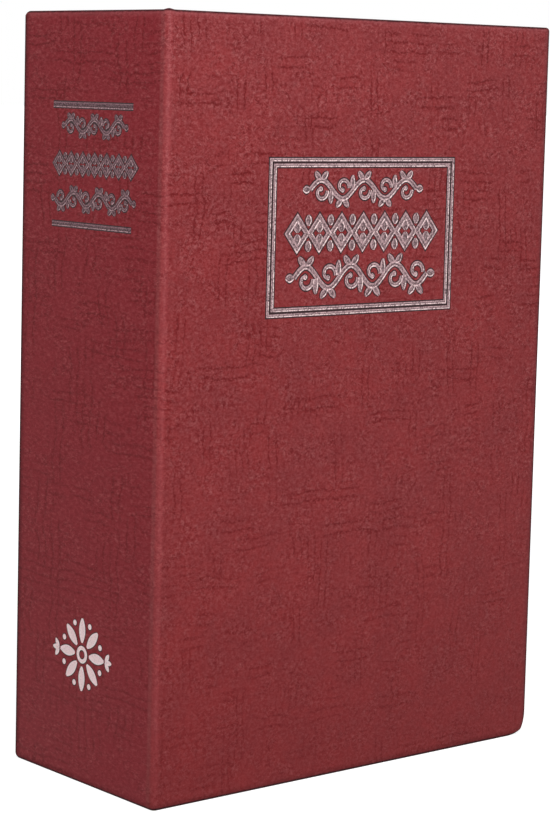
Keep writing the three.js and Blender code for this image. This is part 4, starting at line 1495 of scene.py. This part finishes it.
@dataclass
class FrontEndpaper:
    """The paper pasted inside the front cover, with the turned-in leatherette showing through as a step."""

    plan: BookPlan
    margin: float = 4 * MM
    thick: float = 0.2 * MM
    hollow: float = 0.14 * MM
    start_gap: float = 0.3 * MM
    step_width: float = 1.4 * MM
    cockle: float = 0.02 * MM

    def build_shape(self) -> bmesh.types.BMesh:
        """Model the sheet as a fine grid that sinks a little inside the turn-ins."""
        plan = self.plan
        inner = plan.front + plan.cover
        start = plan.left + plan.crease + self.start_gap
        low_x, high_x = start + self.margin, plan.right - self.margin
        low_z, high_z = self.margin, plan.height - self.margin
        shape = bmesh.new()
        for vert, across, up in spread(shape, 110, 170):
            x = low_x + across * (high_x - low_x)
            z = low_z + up * (high_z - low_z)
            from_edge = min(x - start, plan.right - x, z, plan.height - z) - plan.turn_in
            share = min(1.0, max(0.0, from_edge / self.step_width))
            dip = self.hollow * share * share * (3 - 2 * share)
            waves = self.cockle * noise.noise(Vector((x * 40, z * 26, 0)))
            vert.co = Vector((x, inner + self.thick - dip - self.cockle + waves, z))
        verts, _ = extruded(shape, [edge for edge in shape.edges if edge.is_boundary])
        for vert in verts:
            vert.co.y = inner - 0.1 * MM
        bmesh.ops.recalc_face_normals(shape, faces=shape.faces)
        first = max(shape.faces, key=lambda face: face.calc_area())
        if first.normal.y < 0:
            bmesh.ops.reverse_faces(shape, faces=shape.faces)
        return shape

    def build(self, finishes: Finishes) -> None:
        """Make the endpaper and hang it on the front cover."""
        sheet = finish_mesh("front_endpaper_sheet", self.build_shape(), finishes.endpaper, 40)
        hang(sheet, Body.COVER, "endpaper", "front_endpaper")


@dataclass
class SoftenedParts:
    """Pressed and folded parts: the solids' own shapes with their edges rounded as a press leaves them."""

    nodes: dict[str, bpy.types.Object]
    finishes: Finishes

    def build(self) -> None:
        """Make every softened part."""
        finishes = self.finishes
        parts = [
            ("box_pan", Body.CASE, finishes.powder_coat, "black_steel", 0.22),
            ("box_rim", Body.CASE, finishes.powder_coat, "black_steel", 0.2),
            ("strike_bracket", Body.CASE, finishes.zinc, "zinc_steel", 0.2),
            ("hinge_box_leaf", Body.CASE, finishes.zinc, "zinc_steel", 0.12),
            ("lid_panel", Body.LID, finishes.powder_coat, "black_steel", 0.26),
            ("hinge_lid_leaf", Body.LID, finishes.zinc, "zinc_steel", 0.12),
            ("lock_washer", Body.LID, finishes.zinc, "zinc_steel", 0.1),
            ("lock_nut", Body.LID, finishes.nickel, "nickel", 0.28),
            ("lock_plug", Body.PLUG, finishes.nickel, "nickel", 0.16),
            ("lock_cam", Body.PLUG, finishes.zinc, "zinc_steel", 0.18),
        ]
        for name, body, material, slot, width in parts:
            shape = softened(self.nodes[name], width * MM)
            piece = finish_mesh(f"{name}_finished", shape, material, 32)
            flattened(piece)
            hang(piece, body, slot, name)


@dataclass
class Fasteners:
    """Rivets, screws and the hinge pin, each turned and placed where its solid is."""

    finishes: Finishes
    recess_depth: float = 0.75 * MM
    recess_width: float = 0.55 * MM
    slot_turns: tuple[float, ...] = (0.3, 1.0, 0.7, 0.1)

    @staticmethod
    def axis_of(node: str, axis: Vector) -> tuple[Vector, float]:
        """Return the point on the axis where a fastener's solid starts, and its length from there."""
        low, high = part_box(node)
        length = abs((high - low).dot(axis))
        return (low + high) / 2 - axis * length / 2, length

    def make(
        self, node: str, profile: Sequence[Pair], start: Vector, axis: Vector, steps: int
    ) -> bpy.types.Object:
        """Turn a fastener from its profile, in zinc plate."""
        shape = bmesh.new()
        turned(shape, profile, start, axis, steps)
        return finish_mesh(f"{node}_finished", shape, self.finishes.zinc, 35)

    def rivet(self, node: str, axis: Vector, body: Body) -> None:
        """Make a domed rivet whose head points along the axis."""
        start, length = self.axis_of(node, axis)
        head = 0.8 * MM
        dome = [
            (1.6 * MM * math.cos(turn), length - head + head * math.sin(turn))
            for turn in (0.12, 0.35, 0.6, 0.85, 1.1, 1.35)
        ]
        profile = [(0.0, 0.0), (0.75 * MM, 0.0), (0.9 * MM, 0.12 * MM), (0.9 * MM, length - head)]
        profile += [(1.5 * MM, length - head), (1.6 * MM, length - head + 0.08 * MM), *dome, (0.0, length)]
        hang(self.make(node, profile, start, axis, 32), body, "zinc_steel", node)

    def screw(self, node: str, axis: Vector, body: Body, head_radius: float, radius: float, slot_turn: float) -> None:
        """Make a pan-head screw with a cross recess; the axis points from tip to head."""
        start, length = self.axis_of(node, axis)
        head = 1.4 * MM
        under = length - head
        profile = [(0.0, 0.0), (radius, 0.9 * radius)]
        count = max(2, int((under - radius) / (0.4 * MM)))
        for i in range(count):
            along = 0.9 * radius + (under - 0.9 * radius) * (i + 0.5) / count
            profile.append((radius * (0.84 if i % 2 else 1.0), along))
        profile += [(radius, under), (head_radius - 0.1 * MM, under), (head_radius, under + 0.1 * MM)]
        profile.append((head_radius, under + 0.45 * head))
        for turn in (0.3, 0.6, 0.9, 1.2):
            profile.append((head_radius * math.cos(turn) ** 0.6, under + head * (0.45 + 0.55 * math.sin(turn))))
        profile.append((0.0, length))
        piece = self.make(node, profile, start, axis, 36)
        top = start + axis * length
        side = axis.orthogonal().normalized()
        for quarter in (0.0, math.pi / 2):
            cutter = bmesh.new()
            turn = Matrix.Rotation(slot_turn + quarter, 4, axis)
            arm = turn.to_3x3() @ side
            cross = axis.cross(arm)
            basis = Matrix((arm, cross, axis)).transposed().to_4x4()
            size = Matrix.Diagonal((1.1 * head_radius, self.recess_width, 2 * self.recess_depth, 1.0))
            bmesh.ops.create_cube(cutter, size=1.0, matrix=Matrix.Translation(top) @ basis @ size)
            carved(piece, cutter)
        hang(piece, body, "zinc_steel", node)

    def pin(self) -> None:
        """Make the hinge pin with its two domed heads."""
        up = Vector((0, 0, 1))
        start, length = self.axis_of("hinge_pin", up)
        head = 0.8 * MM
        dome = [(0.0, 0.0), (0.7 * MM, 0.06 * MM), (1.15 * MM, 0.28 * MM), (1.4 * MM, 0.6 * MM), (1.4 * MM, head)]
        profile = [*dome, (0.9 * MM, head)]
        profile += [(radius, length - along) for radius, along in reversed(profile)]
        hang(self.make("hinge_pin", profile, start, up, 28), Body.CASE, "zinc_steel", "hinge_pin")

    def build(self) -> None:
        """Make every fastener."""
        left, right = Vector((-1, 0, 0)), Vector((1, 0, 0))
        for i in (1, 2, 3):
            self.rivet(f"box_leaf_rivet_{i}", right, Body.CASE)
            self.rivet(f"lid_leaf_rivet_{i}", Vector((0, -1, 0)), Body.LID)
        for i in (1, 2):
            self.rivet(f"strike_rivet_{i}", left, Body.CASE)
        middle = (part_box("box_pan")[0].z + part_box("box_pan")[1].z) / 2
        for i, turn in enumerate(self.slot_turns, 1):
            low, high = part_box(f"box_screw_{i}")
            up = Vector((0, 0, 1 if high.z < middle else -1))
            self.screw(f"box_screw_{i}", up, Body.CASE, 2.4 * MM, 1.1 * MM, turn)
        self.screw("cam_screw", Vector((0, 1, 0)), Body.PLUG, 2.6 * MM, 1.2 * MM, 0.5)
        self.pin()


@dataclass
class LockHousing:
    """The lock's body: a flange with a turned groove and a threaded barrel with two flats."""

    finishes: Finishes
    bore: float = 4.15 * MM
    barrel: float = 5.5 * MM
    flat: float = 4.8 * MM
    flange: float = 8 * MM
    flange_thick: float = 1.2 * MM
    thread_pitch: float = 0.8 * MM
    thread_depth: float = 0.3 * MM
    sides: int = 56

    def ring(self, centre: Vector, radius: float, along: float, flats: bool) -> list[Vector]:
        """Return a ring round the lock's axis, cut by the barrel's flats where asked."""
        points = []
        for i in range(self.sides):
            angle = math.tau * i / self.sides
            x = radius * math.cos(angle)
            if flats:
                x = max(-self.flat, min(self.flat, x))
            points.append(Vector((centre.x + x, along, centre.z + radius * math.sin(angle))))
        return points

    def build(self) -> None:
        """Make the housing."""
        low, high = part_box("lock_housing")
        centre = (low + high) / 2
        front, back = low.y, high.y
        rise = 0.25 * MM
        steps = [
            (self.bore, back, False),
            (self.bore, front + 0.3 * MM, False),
            (self.bore + 0.3 * MM, front + 0.02 * MM, False),
            (self.flange - 2.2 * MM, front, False),
            (self.flange - 2.0 * MM, front + 0.12 * MM, False),
            (self.flange - 1.6 * MM, front + 0.12 * MM, False),
            (self.flange - 1.4 * MM, front, False),
            (self.flange - 0.45 * MM, front + 0.04 * MM, False),
            (self.flange - 0.12 * MM, front + rise, False),
            (self.flange, front + 2 * rise, False),
            (self.flange, front + self.flange_thick - 0.12 * MM, False),
            (self.flange - 0.12 * MM, front + self.flange_thick, False),
            (self.barrel, front + self.flange_thick + 0.01 * MM, True),
        ]
        start = front + self.flange_thick + 0.4 * MM
        turns = int((back - 0.4 * MM - start) / self.thread_pitch)
        for i in range(turns):
            along = start + i * self.thread_pitch
            steps.append((self.barrel, along, True))
            steps.append((self.barrel - self.thread_depth, along + self.thread_pitch / 2, True))
        steps += [(self.barrel, back - 0.35 * MM, True), (self.barrel - 0.3 * MM, back, True)]
        shape = bmesh.new()
        lofted(shape, [self.ring(centre, radius, along, flats) for radius, along, flats in steps])
        hang(finish_mesh("lock_housing_finished", shape, self.finishes.nickel, 30), Body.LID, "nickel", "lock_housing")


@dataclass
class Keys:
    """Two flat keys on the box's lower wall, with two grooves milled along the blade and one turned in the bow."""

    nodes: dict[str, bpy.types.Object]
    finishes: Finishes
    places: tuple[Triple, ...] = ((-20 * MM, 11 * MM, -0.12), (-14 * MM, -7 * MM, 0.2))
    bow: float = 8 * MM
    reach: float = 23 * MM

    def build(self) -> None:
        """Make both keys."""
        for i, (x, y, turn) in enumerate(self.places, 1):
            node = f"key_{i}"
            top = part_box(node)[1].z
            piece = finish_mesh(f"{node}_finished", softened(self.nodes[node], 0.16 * MM), self.finishes.nickel, 32)
            place = Matrix.Translation((x, y, top)) @ Matrix.Rotation(turn, 4, "Z")
            cutter = bmesh.new()
            for across, wide in ((-0.75 * MM, 0.8 * MM), (0.9 * MM, 0.45 * MM)):
                middle = Vector(((self.bow + 4 * MM + self.reach) / 2, across, 0))
                size = Matrix.Diagonal((self.reach - self.bow - 3 * MM, wide, 0.7 * MM, 1.0))
                bmesh.ops.create_cube(cutter, size=1.0, matrix=place @ Matrix.Translation(middle) @ size)
            carved(piece, cutter)
            cutter = bmesh.new()
            inner, outer = self.bow - 2.0 * MM, self.bow - 1.5 * MM
            profile = [(inner, -0.2 * MM), (inner, 0.4 * MM), (outer, 0.4 * MM), (outer, -0.2 * MM), (inner, -0.2 * MM)]
            turned(cutter, profile, place.translation, Vector((0, 0, 1)), 48)
            carved(piece, cutter)
            flattened(piece)
            hang(piece, Body.CASE, "nickel", node)


@dataclass
class Studio:
    """White studio: camera at the photograph's angle, soft lamps, a pale floor."""

    position: Triple = (-0.388506, -0.458032, 0.164118)
    right: Triple = (0.76698306, -0.64118399, 0.02490117)
    up: Triple = (0.05155172, 0.10025474, 0.99362539)
    focal_px: float = 2455.4
    shift: tuple[float, float] = (0.00014, -0.06614)
    image_height_px: float = 822
    sensor: float = 36.0
    ambient: float = 0.12
    target: Triple = (0, 0, 0.09)
    lamps: tuple[tuple[str, Triple, float, float], ...] = (
        ("key", (-0.32, -0.38, 0.6), 0.3, 5.5),
        ("side", (0.3, -0.55, 0.6), 0.35, 1.1),
        ("rear", (0.4, 0.7, 0.8), 0.6, 2.6),
    )

    def camera(self) -> None:
        """Place the camera where the fitted perspective of the photograph puts it."""
        data = bpy.data.cameras.new("camera")
        data.sensor_fit = "VERTICAL"
        data.sensor_height = self.sensor
        data.lens = self.focal_px / self.image_height_px * self.sensor
        data.shift_x, data.shift_y = self.shift
        data.clip_start = 0.01
        data.clip_end = 50
        camera = bpy.data.objects.new("camera", data)
        right, up = Vector(self.right), Vector(self.up)
        rotation = Matrix((right, up, right.cross(up))).transposed()
        camera.matrix_world = Matrix.Translation(Vector(self.position)) @ rotation.to_4x4()
        bpy.context.scene.collection.objects.link(camera)
        bpy.context.scene.camera = camera

    def lamp(self, name: str, place: Vector, size: float, power: float) -> None:
        """Hang a square area lamp that faces the object's middle."""
        data = bpy.data.lights.new(name, "AREA")
        data.shape = "SQUARE"
        data.size = size
        data.energy = power
        lamp = bpy.data.objects.new(name, data)
        facing = (Vector(self.target) - place).to_track_quat("-Z", "Y")
        lamp.matrix_world = Matrix.Translation(place) @ facing.to_matrix().to_4x4()
        bpy.context.scene.collection.objects.link(lamp)

    @staticmethod
    def seen(graph: Graph) -> Signal:
        """Return 1 for rays from the camera, off gloss or through glass, and 0 for light that only bounces."""
        path = graph.outputs(graph.add("ShaderNodeLightPath"))
        direct = graph.math("MAXIMUM", path["Is Camera Ray"], path["Is Glossy Ray"])
        return graph.math("MAXIMUM", direct, path["Is Transmission Ray"])

    def floor(self) -> None:
        """Lay a wide pale floor that keeps the object's shadow."""
        material, graph, shader = start_material("Floor")
        place = graph.read("Object", "ShaderNodeTexCoord")
        away = graph.read("Value", "ShaderNodeVectorMath", {0: place}, operation="LENGTH")
        surface = {
            "Base Color": (0.45, 0.45, 0.45, 1),
            "Roughness": 0.9,
            "Specular IOR Level": 0.1,
            "Emission Color": (1, 1, 1, 1),
            "Emission Strength": self.seen(graph) * (graph.ramp(away, 0.3, 0.8) * 0.3 + 0.8),
        }
        graph.wire(shader, surface)
        shape = bmesh.new()
        bmesh.ops.create_grid(shape, x_segments=2, y_segments=2, size=12)
        floor = finish_mesh("floor", shape, material, 30)

    def world(self) -> None:
        """Light the object softly from all round and show white behind it."""
        world = bpy.data.worlds.new("Studio")
        bpy.context.scene.world = world
        world.use_nodes = True
        world.node_tree.nodes.clear()
        graph = Graph(world.node_tree)
        strength = self.seen(graph) * (1 - self.ambient) + self.ambient
        background = graph.add("ShaderNodeBackground", {"Color": (1, 1, 1, 1), "Strength": strength})
        graph.add("ShaderNodeOutputWorld", {"Surface": background.outputs["Background"]})

    def build(self) -> None:
        """Set up the whole studio."""
        bpy.context.scene.view_settings.view_transform = "Standard"
        self.camera()
        self.world()
        self.floor()
        for name, place, size, power in self.lamps:
            self.lamp(name, Vector(place), size, power)


@dataclass(frozen=True)
class CarriedOver:
    """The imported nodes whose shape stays, each with its finish."""

    finishes: Finishes

    def dress(self, nodes: dict[str, bpy.types.Object]) -> None:
        """Give each node its finish."""
        table = {
            "spine_board": self.finishes.greyboard,
            "back_board": self.finishes.greyboard,
            "back_endpaper": self.finishes.endpaper,
        }
        for name, material in table.items():
            nodes[name].data.materials.clear()
            nodes[name].data.materials.append(material)
            LOG.info("%s: carried over in %s", name, material.name)


def main() -> None:
    """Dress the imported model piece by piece."""
    logging.basicConfig(level=logging.INFO, format="%(name)s %(message)s")
    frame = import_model()
    plan = BookPlan.from_frame()
    Studio().build()
    finishes = Finishes.build()
    CarriedOver(finishes).dress(frame["nodes"])
    Covering(plan).build(finishes)
    FoilWork(plan).build(finishes)
    PageRing(plan).build(finishes)
    FrontEndpaper(plan).build(finishes)
    SoftenedParts(frame["nodes"], finishes).build()
    Fasteners(finishes).build()
    LockHousing(finishes).build()
    Keys(frame["nodes"], finishes).build()


if __name__ == "__main__":
    main()
